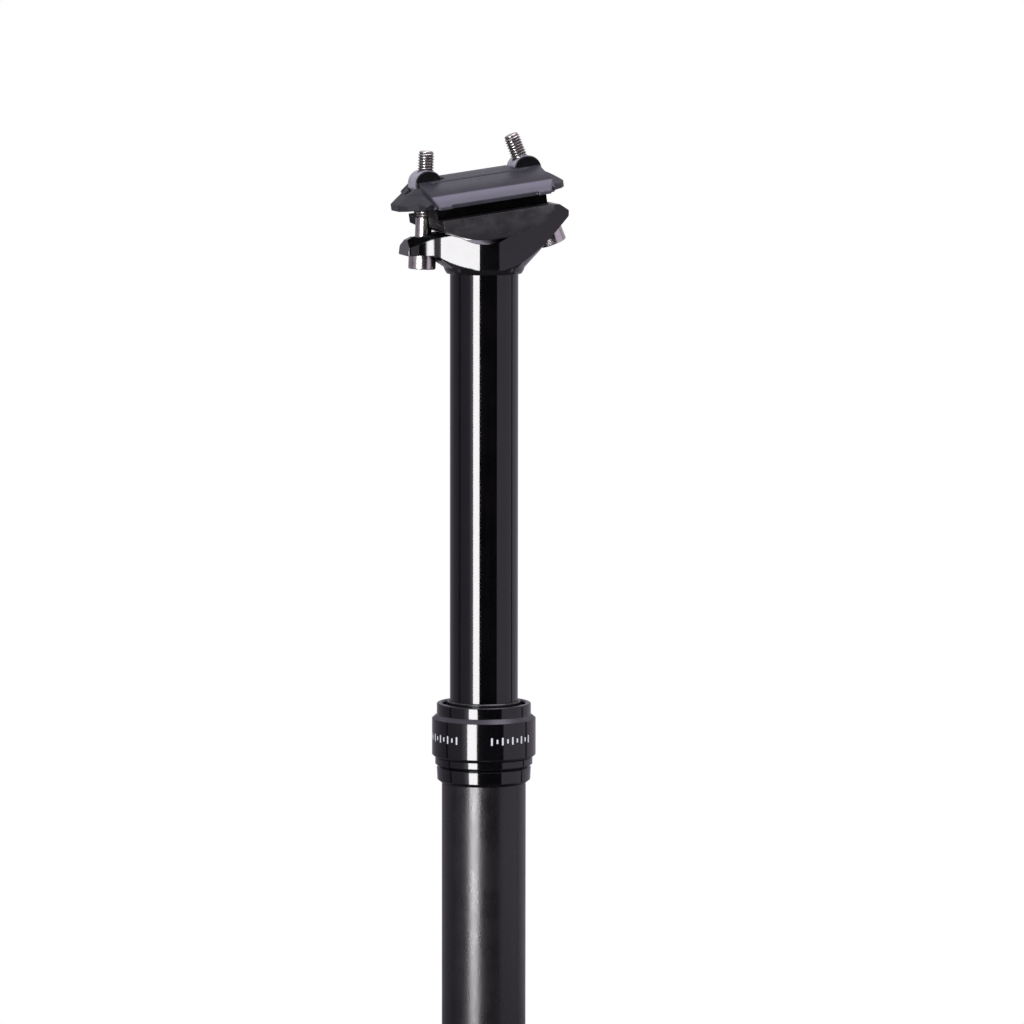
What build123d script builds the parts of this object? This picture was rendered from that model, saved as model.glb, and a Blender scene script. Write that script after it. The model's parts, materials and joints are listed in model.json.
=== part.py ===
from build123d import *
from math import cos, radians, sin, sqrt
import os

# Dropper seatpost with a two bolt saddle clamp. Millimetres.
# The origin is on the post's axis at the lower edge of the collar, which is where the frame's
# seat tube ends at full insertion. +Z runs up the post, +X to the front of the bicycle, +Y to its left.

# Sizes of the post as a whole
post_diameter = 30.9        # lower tube, and the bore of the frame that it fits
tube_wall = 2.0
stanchion_diameter = 25.0   # sliding inner tube
stanchion_wall = 1.8
travel = 150.0
foot_room = 52.0            # lower tube's length beyond its travel
buried_length = travel + foot_room      # lower tube below the collar's lower edge
collar_height = 29.4
head_rest_gap = 7.9         # between collar and head with the post right down
exposed_length = travel + head_rest_gap     # stanchion that shows between collar and head

# Clearances and the overrun of every cut
sliding_gap = 0.05          # radial play of a sliding or turning fit
fit_gap = 0.03              # radial play between pieces that are fixed to each other
free_gap = 0.2              # between pieces that move past each other and aren't a fit
overrun = 1.0

# Collar at the top of the lower tube: foot ring, middle band and seal housing
collar_diameter = 38.14
collar_neck_diameter = 34.6
collar_foot_diameter = 31.4
foot_ring_height = 6.2
band_height = 3.4
band_diameter = 35.8
collar_waist_diameter = 36.4    # seal housing where it meets the band
collar_main_height = 14.1       # full diameter part of the seal housing
collar_neck_height = 4.2
collar_chamfer = 0.8
collar_rim_radius = 0.5
foot_ring_chamfer = 1.15
seam_depth = 0.6
seam_height = 0.7
tube_top = 20.0                 # lower tube inside the collar
tube_thread_diameter = 30.3     # where the collar is screwed on
collar_seal_wire = 1.5          # ring between tube and seal housing
collar_web = 2.0                # inner flange under the wiper
web_bore_diameter = 27.4
wiper_diameter = 30.6
wiper_rise = 0.9                # lip of the wiper above the collar's rim
wiper_lip = 0.8
wiper_rib = 0.55
wiper_body_height = 3.6

# Bushes and anti-rotation keys between the two tubes
guide_bush_length = 17.5
guide_bush_drop = 0.5           # below the top of the tube
stanchion_overlap = 38.0        # stanchion below the collar's lower edge when extended
slide_ring_length = 10.0
slide_ring_drop = 13.0          # top of the ring below the collar's lower edge
slide_ring_bite = 0.5           # depth of its groove in the stanchion
slide_ring_split = 1.5
key_count = 3
key_width = 2.4
key_length = 10.0
key_foot = 2.0                  # from the stanchion's lower end to the keys
key_bite = 0.9
key_stand = 1.7                 # how far a key stands out of the stanchion
track_play = 0.1
track_top_drop = 18.0
track_foot = 12.0               # from the end of the tube to the tracks

# Gas cartridge inside the stanchion
cartridge_diameter = 19.0
cartridge_bore = 16.6
cartridge_top_room = 4.9        # from the top of the stanchion to the cartridge tube
gland_flange = 4.5
gland_length = 17.0
gland_groove_drop = 8.0         # grooves for the rod seal and outer ring, up from the gland's foot
rod_seal_height = 2.8
rod_seal_diameter = 12.0
gland_ring_wire = 1.6
gland_ring_rise = 14.0
bumper_height = 6.0
bumper_diameter = 15.0
rod_diameter = 8.0
rod_neck_diameter = 6.0
rod_bore_diameter = 2.6
pin_diameter = 2.4
poppet_diameter = 4.4
poppet_height = 2.0
piston_height = 9.0
piston_seal_height = 2.0
piston_seal_depth = 1.3
port_count = 4
port_diameter = 1.6
port_circle_diameter = 10.8
hex_nut_width = 10.0
hex_nut_height = 4.0
rod_end_stand = 0.5             # rod end beyond its nut
float_height = 8.0
float_rise = 122.0              # floating piston above the collar's lower edge when extended
float_cup = 3.0
cap_neck = 7.8
cap_flange = 4.2
cap_ring_wire = 1.6
fill_valve_diameter = 7.0
fill_valve_length = 9.0
fill_valve_socket = 3.0

# Foot of the lower tube and its cable actuator
plug_depth = 9.0                # plug inside the tube
plug_flange = 3.0
plug_flange_diameter = 30.2
plug_well_diameter = 12.4       # recess for the rod's nut
plug_well_depth = 4.6
plug_ring_wire = 1.8
plug_ring_rise = 5.0
stop_bumper_height = 4.4
stop_bumper_diameter = 19.6
housing_height = 16.7
housing_slot = 8.4
housing_back = 7.0              # closed side of the slot, behind the axis
housing_bridge = 4.7            # floor that holds the cable stop
bridge_edge = 7.0
cable_offset = 11.0             # cable's line in front of the axis
cable_stop_diameter = 5.1
cable_stop_depth = 4.0
cable_hole_diameter = 2.0
screw_diameter = 3.0
screw_offset = 10.5
screw_head_diameter = 5.5
screw_head_height = 2.4
screw_reach = 6.0               # into the plug
screw_socket_width = 2.0
pivot_offset = 5.0
pin_reach = 3.5                 # valve pin below the plug's face
pivot_fall = 1.0                # lever pivot below the lever's pad
pivot_pin_diameter = 3.0
pivot_pin_length = 27.6
lever_width = 7.0
lever_hub_diameter = 6.4
lever_pad_reach = 2.5           # pad past the axis
lever_pad_thickness = 2.2
lever_eye_diameter = 6.8
lever_eye_fall = 1.95           # eye below the pivot
barrel_diameter = 4.5
barrel_hole_diameter = 1.8
barrel_screw_diameter = 2.4
barrel_screw_length = 2.4

# Head, seen from the side. Heights are above its lower face.
head_barrel_radius = 14.7       # round middle of the head's plan
head_front_turn = 20.0          # where the barrel runs out into flat flanks, in degrees from the side
head_rear_turn = 12.0
ear_half_width = 8.0
ear_waist_radius = 10.0         # soft corner between flank and ear
head_corner_radius = 1.4
seat_radius = 36.0
seat_forward = 5.0              # centre of the seat in front of the post's axis
seat_rise = 49.2                # centre of the seat above the head's lower face
seat_front = 16.7
ear_reach = 30.4
ear_rake = 1.0
ear_root = 21.5                 # where the foot's flare runs out under the ear
ear_underside = 7.0
ear_end_height = 12.5
ear_shoulder = 26.0
ear_shoulder_height = 14.3
shoulder_root = (15.5, 10.0, 14.3)      # three points of the ear's sloping shoulder
shoulder_tip = (28.5, 8.0, 10.5)
shoulder_ridge = (28.5, 2.0, 13.0)
arm_reach = 29.9
arm_underside_height = 21.3
arm_end_height = 23.0
arm_crest = 26.0
arm_crest_height = 25.4
arm_seat_height = 25.2
arm_root = 19.2
arm_root_height = 9.7
foot_rim_radius = 13.7
foot_rim_height = 0.9
foot_radius = 14.3
foot_waist_radius = 14.9
foot_waist_height = 2.4
ear_knee = (17.9, 4.4)          # flare towards the ear
arm_knee = (17.8, 5.6)          # flare towards the arm
arm_mouth = (22.5, 10.6)
bell_spread = 45.0
bell_spread_height = 18.0
socket_depth = 8.7
scallop_radius = 15.0           # hollow across the seat
scallop_depth = 2.0
scallop_lean = 5.1              # back from the post's line, in degrees

# Saddle clamp. Heights are above the rails' axis, lengths are along the rails.
tilt = 8.0                      # nose down, in degrees
rail_rise = 23.6                # rails' axis below the seat's centre
rail_diameter = 7.0
rail_spacing = 44.0
seat_gap = 0.15                 # cradle to head
cradle_length = 41.3
cradle_width = 56.0
cradle_lip = 2.4                # top edge below the rails' axis
cradle_block_width = 37.0
cradle_block_height = 0.8
cradle_edge_radius = 7.0
notch_width = 7.8
notch_depth = 8.0
upper_width = 56.0
upper_underside = 1.6
upper_height = 11.7
lip_height = 2.6
crease_width = 50.0
crease_height = 6.4
crown_half_width = 4.0
crown_half_length = 14.5
nose_length = 31.2
nose_half_width = 6.0
nose_end_height = 3.9
nose_mid = 21.2                 # middle of the slope from crown to nose
nose_mid_height = 9.8
nose_waist = 29.0
nose_waist_half_width = 11.2
nose_shoulder = 25.5
nose_root_half_width = 15.5
nose_root_height = 4.0
ridge_forward = 25.0            # upper end of the ridge beside a nose
ridge_half_width = 8.0
ridge_height = 7.7
wing_half_length = 22.7
wing_sweep = 1.4                # the wings' ends draw in towards the lips
wing_undercut = 2.0
lip_recess_length = 32.4
lip_recess_height = 2.75
lip_recess_width = 2.4
crown_groove_offset = 9.4       # from the clamp's middle to a groove
crown_groove_width = 1.5
crown_groove_depth = 0.45
crown_groove_length = 37.0

# Adjusting bolts, their rocking washers and their barrel nuts
bolt_diameter = 6.0
thread_relief = 0.05            # thread crest under the shank's radius
thread_length = 24.0
bolt_length = 37.0
bolt_head_diameter = 10.0
bolt_head_height = 6.0
bolt_tip_chamfer = 0.6
socket_width = 5.0
bolt_socket_depth = 3.2
head_edge_radius = 0.4
nut_diameter = 10.0
nut_length = 13.0
nut_spread = 18.7               # nuts' axes, to each side of their middle
nut_middle = 0.5
nut_rise = 9.8
nut_chamfer = 0.3
nut_play = 0.75                 # pocket round a nut
nut_side_play = 0.5
front_bolt_seat = (23.1, 7.8)   # under the bolt's head: forward and above the head's lower face
rear_bolt_seat = (-23.8, 16.2)
washer_diameter = 9.0
washer_length = 9.2
washer_gap = 0.1
spot_diameter = 12.6
spot_lift = 0.8                 # room for the bolt's head to rock
spot_run = 12.0
slot_width = 6.8
slot_rock = 1.6                 # half of the extra length of a bolt's slot
clamp_slot_near = 4.2           # bolt's slot in the upper clamp, towards the middle and the nose
clamp_slot_far = 8.2

# Places that follow from the sizes above
post_radius = post_diameter / 2
tube_bore = post_radius - tube_wall
stanchion_radius = stanchion_diameter / 2
stanchion_bore = stanchion_radius - stanchion_wall
head_base = collar_height + exposed_length
stanchion_top = head_base + socket_depth
seal_base = foot_ring_height + band_height
head_side = Plane((0, 0, head_base), x_dir=(1, 0, 0), z_dir=(0, -1, 0))
lean_x, lean_z = sin(radians(tilt)), cos(radians(tilt))
seat_centre = Vector(seat_forward, 0, head_base + seat_rise)
rail_middle = seat_centre - Vector(lean_x, 0, lean_z) * rail_rise
clamp_side = Plane(rail_middle, x_dir=(lean_z, 0, -lean_x), z_dir=(0, -1, 0))
clamp_end = Plane(rail_middle, x_dir=(0, 1, 0), z_dir=(lean_z, 0, -lean_x))
clamp_top = Plane(rail_middle, x_dir=(lean_z, 0, -lean_x), z_dir=(lean_x, 0, lean_z))


def bolt_line(seat, nut_forward):
    """Plane of a bolt: its origin under the bolt's head, its normal up the bolt through the nut."""
    low = Vector(seat[0], 0, head_base + seat[1])
    nut = clamp_side.from_local_coords(Vector(nut_forward, nut_rise, 0))
    up = (nut - low).normalized()
    return Plane(low, x_dir=(up.Z, 0, -up.X), z_dir=(up.X, 0, up.Z)), (nut - low).length


front_line, front_nut_height = bolt_line(front_bolt_seat, nut_middle + nut_spread)
rear_line, rear_nut_height = bolt_line(rear_bolt_seat, nut_middle - nut_spread)


def ring(outer_radius, inner_radius, low, high):
    """Plain ring or disc round the post's axis."""
    with BuildPart() as piece:
        with BuildSketch(Plane.XY.offset(low)):
            Circle(outer_radius)
            if inner_radius:
                Circle(inner_radius, mode=Mode.SUBTRACT)
        extrude(amount=high - low)
    return piece


def seal_ring(ring_radius, wire, height):
    """Round section seal that lies flat round the post's axis."""
    with BuildPart() as piece:
        with BuildSketch(Plane.XZ):
            with Locations((ring_radius, height)):
                Circle(wire / 2)
        revolve(axis=Axis.Z)
    return piece


def turned(points):
    """Solid of revolution round the post's axis from a closed outline of radius and height."""
    with BuildPart() as piece:
        with BuildSketch(Plane.XZ):
            with BuildLine():
                Polyline(*points, close=True)
            make_face()
        revolve(axis=Axis.Z)
    return piece


def hex_nut(low, bore_radius):
    """Plain hexagon nut on the post's axis."""
    with BuildPart() as piece:
        with BuildSketch(Plane.XY.offset(low)):
            RegularPolygon(hex_nut_width / 2, 6, major_radius=False)
            Circle(bore_radius, mode=Mode.SUBTRACT)
        extrude(amount=hex_nut_height)
    return piece


# Lower tube with its three key tracks
with BuildPart() as lower_tube:
    with BuildSketch(Plane.XY.offset(-buried_length)):
        Circle(post_radius)
        Circle(tube_bore, mode=Mode.SUBTRACT)
    extrude(amount=buried_length)
    with BuildSketch(Plane.XY):
        Circle(tube_thread_diameter / 2)
        Circle(tube_bore, mode=Mode.SUBTRACT)
    extrude(amount=tube_top)
    track_bottom = -buried_length + track_foot
    with BuildSketch(Plane.XY.offset(track_bottom)):
        with PolarLocations((stanchion_radius + key_stand + free_gap) / 2, key_count):
            Rectangle(stanchion_radius + key_stand + free_gap, key_width + 2 * track_play)
    extrude(amount=-track_top_drop - track_bottom, mode=Mode.SUBTRACT)
    chamfer(lower_tube.faces().sort_by(Axis.Z)[0].edges().sort_by(SortBy.RADIUS)[-1], length=collar_chamfer)

# Collar: foot ring, band and seal housing, stacked on the tube's threaded end
thread_bore = tube_thread_diameter / 2 + fit_gap
foot_outer = collar_foot_diameter / 2
neck_radius = collar_neck_diameter / 2
collar_foot = turned([
    (thread_bore, 0), (foot_outer, 0), (neck_radius - free_gap, foot_ring_chamfer),
    (neck_radius, foot_ring_height - seam_height), (neck_radius - seam_depth, foot_ring_height),
    (thread_bore, foot_ring_height)])
band_radius = band_diameter / 2
collar_band = turned([
    (thread_bore, foot_ring_height), (neck_radius - seam_depth, foot_ring_height),
    (band_radius, foot_ring_height + seam_height), (band_radius, seal_base - seam_height / 2),
    (band_radius - seam_height / 2, seal_base), (thread_bore, seal_base)])

collar_radius = collar_diameter / 2
waist_radius = collar_waist_diameter / 2
main_low = seal_base + collar_chamfer
main_high = main_low + collar_main_height - collar_chamfer
neck_low = collar_height - collar_neck_height
web_low = tube_top + collar_seal_wire
web_high = web_low + collar_web
wiper_radius = wiper_diameter / 2
web_bore = web_bore_diameter / 2
with BuildPart() as seal_collar:
    with BuildSketch(Plane.XZ):
        with BuildLine():
            Polyline(
                (thread_bore, seal_base), (waist_radius, seal_base), (collar_radius, main_low),
                (collar_radius, main_high), (neck_radius, neck_low), (neck_radius, collar_height),
                (wiper_radius, collar_height), (wiper_radius, web_high), (web_bore, web_high),
                (web_bore, web_low), (thread_bore, web_low), close=True)
        make_face()
    revolve(axis=Axis.Z)
    rim = seal_collar.edges().filter_by(GeomType.CIRCLE).group_by(Axis.Z)[-1]
    fillet(rim, radius=collar_rim_radius)

collar_seal = seal_ring((tube_bore + tube_thread_diameter / 2) / 2, collar_seal_wire,
                        tube_top + collar_seal_wire / 2)

# Ribbed dust wiper, with its lip just clear of the stanchion
lip_radius = stanchion_radius + free_gap
lip_top = collar_height + wiper_rise
wiper_top = web_high + wiper_body_height
wiper_outer = wiper_radius - fit_gap
rib_pitch = (wiper_outer - lip_radius - wiper_lip) / 2
dust_wiper = turned([
    (lip_radius + wiper_lip, web_high), (wiper_outer, web_high), (wiper_outer, wiper_top + wiper_rib),
    (wiper_outer - rib_pitch / 2, wiper_top + wiper_rib), (wiper_outer - rib_pitch / 2, wiper_top),
    (wiper_outer - rib_pitch, wiper_top), (wiper_outer - rib_pitch, wiper_top + 2 * wiper_rib),
    (wiper_outer - rib_pitch - wiper_rib, wiper_top + 2 * wiper_rib),
    (wiper_outer - rib_pitch - wiper_rib, wiper_top), (lip_radius + wiper_lip, wiper_top),
    (lip_radius + wiper_lip, lip_top - wiper_lip / 2), (lip_radius + wiper_lip / 2, lip_top),
    (lip_radius, lip_top), (lip_radius, web_high + wiper_body_height / 2)])

# Upper bush in the tube and slide ring on the stanchion
guide_bush = ring(tube_bore - fit_gap, stanchion_radius + sliding_gap,
                  tube_top - guide_bush_drop - guide_bush_length, tube_top - guide_bush_drop)
ring_low = -slide_ring_drop - slide_ring_length
with BuildPart() as slide_ring:
    with BuildSketch(Plane.XY.offset(ring_low)):
        Circle(tube_bore - sliding_gap)
        Circle(stanchion_radius - slide_ring_bite + fit_gap, mode=Mode.SUBTRACT)
        with Locations((-tube_bore, 0)):
            Rectangle(2 * (tube_bore - stanchion_bore), slide_ring_split, mode=Mode.SUBTRACT)
    extrude(amount=slide_ring_length)

# Stanchion with the slide ring's groove and the keys' pockets
stanchion_low = -stanchion_overlap
key_low = stanchion_low + key_foot
key_inner = stanchion_radius - key_bite
key_outer = stanchion_radius + key_stand
with BuildPart() as stanchion:
    with BuildSketch(Plane.XY.offset(stanchion_low)):
        Circle(stanchion_radius)
        Circle(stanchion_bore, mode=Mode.SUBTRACT)
    extrude(amount=stanchion_top - stanchion_low)
    with BuildSketch(Plane.XY.offset(ring_low - fit_gap)):
        Circle(stanchion_radius + overrun)
        Circle(stanchion_radius - slide_ring_bite, mode=Mode.SUBTRACT)
    extrude(amount=slide_ring_length + 2 * fit_gap, mode=Mode.SUBTRACT)
    with BuildSketch(Plane.XY.offset(key_low)):
        with PolarLocations(key_inner + (key_bite + overrun) / 2, key_count):
            Rectangle(key_bite + overrun, key_width)
    extrude(amount=key_length, mode=Mode.SUBTRACT)

with BuildPart() as anti_rotation_keys:
    with BuildSketch(Plane.XY.offset(key_low)):
        with PolarLocations((key_inner + key_outer) / 2, key_count):
            Rectangle(key_outer - key_inner, key_width)
    extrude(amount=key_length)

# Gas cartridge: tube, gland with its seals, and bumper
cartridge_radius = cartridge_diameter / 2
cartridge_inner = cartridge_bore / 2
gland_top = stanchion_low + gland_length
cartridge_low = stanchion_low + gland_flange
cartridge_high = stanchion_top - cartridge_top_room
cartridge_tube = ring(cartridge_radius, cartridge_inner, cartridge_low, cartridge_high)
rod_radius = rod_diameter / 2
seal_low = stanchion_low + gland_groove_drop
gland_neck = cartridge_inner - fit_gap
groove_half = gland_ring_wire / 2 + fit_gap
gland_ring_height = stanchion_low + gland_ring_rise
cartridge_gland = turned([
    (rod_radius + sliding_gap, stanchion_low), (stanchion_bore - fit_gap, stanchion_low),
    (stanchion_bore - fit_gap, cartridge_low), (gland_neck, cartridge_low),
    (gland_neck, gland_ring_height - groove_half),
    (gland_neck - gland_ring_wire, gland_ring_height - groove_half),
    (gland_neck - gland_ring_wire, gland_ring_height + groove_half),
    (gland_neck, gland_ring_height + groove_half), (gland_neck, gland_top),
    (rod_radius + sliding_gap, gland_top), (rod_radius + sliding_gap, seal_low + rod_seal_height),
    (rod_seal_diameter / 2, seal_low + rod_seal_height), (rod_seal_diameter / 2, seal_low),
    (rod_radius + sliding_gap, seal_low)])
rod_seal = ring(rod_seal_diameter / 2 - fit_gap, rod_radius + free_gap, seal_low, seal_low + rod_seal_height)
gland_ring = seal_ring(gland_neck - gland_ring_wire / 2, gland_ring_wire, gland_ring_height)
bumper_top = gland_top + bumper_height
top_out_bumper = ring(bumper_diameter / 2, rod_radius + free_gap, gland_top, bumper_top)

# Main piston on the rod, which is fixed to the foot of the lower tube
piston_low = bumper_top + free_gap
piston_high = piston_low + piston_height
piston_radius = cartridge_inner - sliding_gap
neck_half = rod_neck_diameter / 2
piston_seal_low = piston_low + (piston_height - piston_seal_height) / 2
with BuildPart() as main_piston:
    with BuildSketch(Plane.XY.offset(piston_low)):
        Circle(piston_radius)
        Circle(neck_half + fit_gap, mode=Mode.SUBTRACT)
        with PolarLocations(port_circle_diameter / 2, port_count, start_angle=180 / port_count):
            Circle(port_diameter / 2, mode=Mode.SUBTRACT)
    extrude(amount=piston_height)
    with BuildSketch(Plane.XY.offset(piston_seal_low)):
        Circle(piston_radius + overrun)
        Circle(piston_radius - piston_seal_depth, mode=Mode.SUBTRACT)
    extrude(amount=piston_seal_height, mode=Mode.SUBTRACT)
piston_seal = ring(cartridge_inner - 2 * sliding_gap, piston_radius - piston_seal_depth + fit_gap,
                   piston_seal_low, piston_seal_low + piston_seal_height)
piston_nut = hex_nut(piston_high, neck_half + fit_gap)

plug_top = -buried_length + plug_depth
plug_face = -buried_length - plug_flange
rod_nut_low = plug_face + plug_well_depth - hex_nut_height
rod_top = piston_high + hex_nut_height + rod_end_stand
rod_low = rod_nut_low - rod_end_stand
bore_half = rod_bore_diameter / 2
piston_rod = turned([
    (bore_half, rod_low), (neck_half, rod_low), (neck_half, plug_top), (rod_radius, plug_top),
    (rod_radius, piston_low), (neck_half, piston_low), (neck_half, rod_top), (bore_half, rod_top)])
rod_nut = hex_nut(rod_nut_low, neck_half + fit_gap)

pin_low = plug_face - pin_reach
pin_half = pin_diameter / 2
with BuildPart() as valve_pin:
    with BuildSketch(Plane.XZ):
        with BuildLine():
            Polyline((0, pin_low), (pin_half / 4, pin_low), (pin_half, pin_low + 3 * pin_half / 4),
                     (pin_half, rod_top + sliding_gap), (poppet_diameter / 2, rod_top + sliding_gap),
                     (poppet_diameter / 2, rod_top + poppet_height / 2), (pin_half, rod_top + poppet_height),
                     (0, rod_top + poppet_height), close=True)
        make_face()
    revolve(axis=Axis.Z)

# Floating piston between oil and gas
float_low = float_rise
float_high = float_low + float_height
float_seal_low = float_low + (float_height - piston_seal_height) / 2
with BuildPart() as floating_piston:
    with BuildSketch(Plane.XY.offset(float_low)):
        Circle(piston_radius)
    extrude(amount=float_height)
    with BuildSketch(Plane.XY.offset(float_seal_low)):
        Circle(piston_radius + overrun)
        Circle(piston_radius - piston_seal_depth, mode=Mode.SUBTRACT)
    extrude(amount=piston_seal_height, mode=Mode.SUBTRACT)
    with BuildSketch(Plane.XY.offset(float_high)):
        Circle(piston_radius - piston_seal_depth - float_cup / 2)
    extrude(amount=-float_cup, mode=Mode.SUBTRACT)
float_seal = ring(cartridge_inner - 2 * sliding_gap, piston_radius - piston_seal_depth + fit_gap,
                  float_seal_low, float_seal_low + piston_seal_height)

# Cap that closes the cartridge, with its ring and fill valve
cap_low = cartridge_high - cap_neck
cap_high = cartridge_high + cap_flange
cap_ring_height = cartridge_high - cap_neck / 2
cap_groove = cap_ring_wire / 2 + fit_gap
valve_half = fill_valve_diameter / 2
cartridge_cap = turned([
    (valve_half + fit_gap, cap_low), (gland_neck, cap_low), (gland_neck, cap_ring_height - cap_groove),
    (gland_neck - cap_ring_wire, cap_ring_height - cap_groove),
    (gland_neck - cap_ring_wire, cap_ring_height + cap_groove),
    (gland_neck, cap_ring_height + cap_groove), (gland_neck, cartridge_high),
    (stanchion_bore - fit_gap, cartridge_high), (stanchion_bore - fit_gap, cap_high),
    (valve_half + fit_gap, cap_high)])
cap_ring = seal_ring(gland_neck - cap_ring_wire / 2, cap_ring_wire, cap_ring_height)
with BuildPart() as fill_valve:
    with BuildSketch(Plane.XY.offset(cap_high - fill_valve_length)):
        Circle(valve_half)
    extrude(amount=fill_valve_length)
    with BuildSketch(Plane.XY.offset(cap_high)):
        RegularPolygon(fill_valve_socket / 2, 6, major_radius=False)
    extrude(amount=-fill_valve_socket, mode=Mode.SUBTRACT)

# Foot plug with its ring, the bumper on it and the two housing screws' holes
plug_radius = tube_bore - fit_gap
plug_ring_height = -buried_length + plug_ring_rise
plug_groove = plug_ring_wire / 2 + fit_gap
with BuildPart() as foot_plug:
    with BuildSketch(Plane.XZ):
        with BuildLine():
            Polyline(
                (neck_half + fit_gap, plug_top), (plug_radius, plug_top),
                (plug_radius, plug_ring_height + plug_groove),
                (plug_radius - plug_ring_wire, plug_ring_height + plug_groove),
                (plug_radius - plug_ring_wire, plug_ring_height - plug_groove),
                (plug_radius, plug_ring_height - plug_groove), (plug_radius, -buried_length),
                (plug_flange_diameter / 2, -buried_length), (plug_flange_diameter / 2, plug_face),
                (plug_well_diameter / 2, plug_face), (plug_well_diameter / 2, plug_face + plug_well_depth),
                (neck_half + fit_gap, plug_face + plug_well_depth), close=True)
        make_face()
    revolve(axis=Axis.Z)
    with BuildSketch(Plane.XY.offset(plug_face)):
        with Locations((0, screw_offset), (0, -screw_offset)):
            Circle(screw_diameter / 2 + fit_gap)
    extrude(amount=screw_reach + fit_gap, mode=Mode.SUBTRACT)
plug_ring = seal_ring(plug_radius - plug_ring_wire / 2, plug_ring_wire, plug_ring_height)
bottom_out_bumper = ring(stop_bumper_diameter / 2, rod_radius + fit_gap, plug_top, plug_top + stop_bumper_height)

# Actuator housing: a fork under the plug that holds the lever and the cable stop
housing_low = plug_face - housing_height
bridge_top = housing_low + housing_bridge
housing_radius = plug_flange_diameter / 2
pivot_height = pin_low - sliding_gap - pivot_fall
slot_front = housing_radius + overrun
slot_middle = (slot_front - housing_back) / 2
slot_length = slot_front + housing_back
with BuildPart() as actuator_housing:
    with BuildSketch(Plane.XY.offset(housing_low)):
        Circle(housing_radius)
    extrude(amount=housing_height)
    with BuildSketch(Plane.XY.offset(plug_face)):
        with Locations((slot_middle, 0)):
            Rectangle(slot_length, housing_slot)
    extrude(amount=-(housing_height - housing_bridge), mode=Mode.SUBTRACT)
    with BuildSketch(Plane.XY.offset(bridge_top)):
        with Locations(((bridge_edge - housing_back) / 2, 0)):
            Rectangle(bridge_edge + housing_back, housing_slot)
    extrude(amount=-(housing_bridge + overrun), mode=Mode.SUBTRACT)
    with BuildSketch(Plane.XY.offset(housing_low)):
        with Locations((cable_offset, 0)):
            Circle(cable_stop_diameter / 2)
    extrude(amount=cable_stop_depth, mode=Mode.SUBTRACT)
    with BuildSketch(Plane.XY.offset(housing_low)):
        with Locations((cable_offset, 0)):
            Circle(cable_hole_diameter / 2)
    extrude(amount=housing_bridge + overrun, mode=Mode.SUBTRACT)
    with BuildSketch(Plane.XY.offset(housing_low)):
        with Locations((0, screw_offset), (0, -screw_offset)):
            Circle(screw_diameter / 2 + fit_gap)
    extrude(amount=housing_height, mode=Mode.SUBTRACT)
    with BuildSketch(Plane.XY.offset(housing_low)):
        with Locations((0, screw_offset), (0, -screw_offset)):
            Circle(screw_head_diameter / 2 + fit_gap)
    extrude(amount=screw_head_height, mode=Mode.SUBTRACT)
    with BuildSketch(Plane.XZ):
        with Locations((pivot_offset, pivot_height)):
            Circle(pivot_pin_diameter / 2 + fit_gap)
    extrude(amount=housing_radius, both=True, mode=Mode.SUBTRACT)

with BuildPart() as housing_screws:
    for side in (-1, 1):
        with BuildSketch(Plane((0, side * screw_offset, housing_low))):
            Circle(screw_head_diameter / 2)
        extrude(amount=screw_head_height)
        with BuildSketch(Plane((0, side * screw_offset, housing_low + screw_head_height))):
            Circle(screw_diameter / 2)
        extrude(amount=housing_height - screw_head_height + screw_reach)
        with BuildSketch(Plane((0, side * screw_offset, housing_low))):
            RegularPolygon(screw_socket_width / 2, 6, major_radius=False)
        extrude(amount=screw_head_height / 2, mode=Mode.SUBTRACT)

with BuildPart() as lever_pivot_pin:
    with BuildSketch(Plane.XZ):
        with Locations((pivot_offset, pivot_height)):
            Circle(pivot_pin_diameter / 2)
    extrude(amount=pivot_pin_length / 2, both=True)

# Lever between the cable and the valve pin, and the barrel that holds the cable's end
pad_top = pin_low - sliding_gap
eye_height = pivot_height - lever_eye_fall
with BuildPart() as actuator_lever:
    with BuildSketch(Plane.XZ):
        with BuildLine():
            Polyline((-lever_pad_reach, pad_top), (pivot_offset, pad_top),
                     (cable_offset, eye_height + lever_eye_diameter / 2),
                     (cable_offset, eye_height - lever_eye_diameter / 2),
                     (pivot_offset, pivot_height - lever_hub_diameter / 2),
                     (-lever_pad_reach, pad_top - lever_pad_thickness), close=True)
        make_face()
        with Locations((pivot_offset, pivot_height)):
            Circle(lever_hub_diameter / 2)
        with Locations((cable_offset, eye_height)):
            Circle(lever_eye_diameter / 2)
            Circle(barrel_diameter / 2 + fit_gap, mode=Mode.SUBTRACT)
        with Locations((pivot_offset, pivot_height)):
            Circle(pivot_pin_diameter / 2 + sliding_gap, mode=Mode.SUBTRACT)
    extrude(amount=lever_width / 2, both=True)
    with BuildSketch(Plane.XY.offset(eye_height)):
        with Locations((cable_offset, 0)):
            Rectangle(cable_hole_diameter, cable_hole_diameter)
    extrude(amount=-lever_eye_diameter, mode=Mode.SUBTRACT)

with BuildPart() as cable_barrel:
    with BuildSketch(Plane.XZ):
        with Locations((cable_offset, eye_height)):
            Circle(barrel_diameter / 2)
    extrude(amount=lever_width / 2, both=True)
    with BuildSketch(Plane.XY.offset(eye_height - barrel_diameter)):
        with Locations((cable_offset, 0)):
            Circle(barrel_hole_diameter / 2)
    extrude(amount=2 * barrel_diameter, mode=Mode.SUBTRACT)
    with BuildSketch(Plane.XZ.offset(-lever_width / 2)):
        with Locations((cable_offset, eye_height)):
            Circle(barrel_screw_diameter / 2 + fit_gap)
    extrude(amount=barrel_screw_length, mode=Mode.SUBTRACT)

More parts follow.
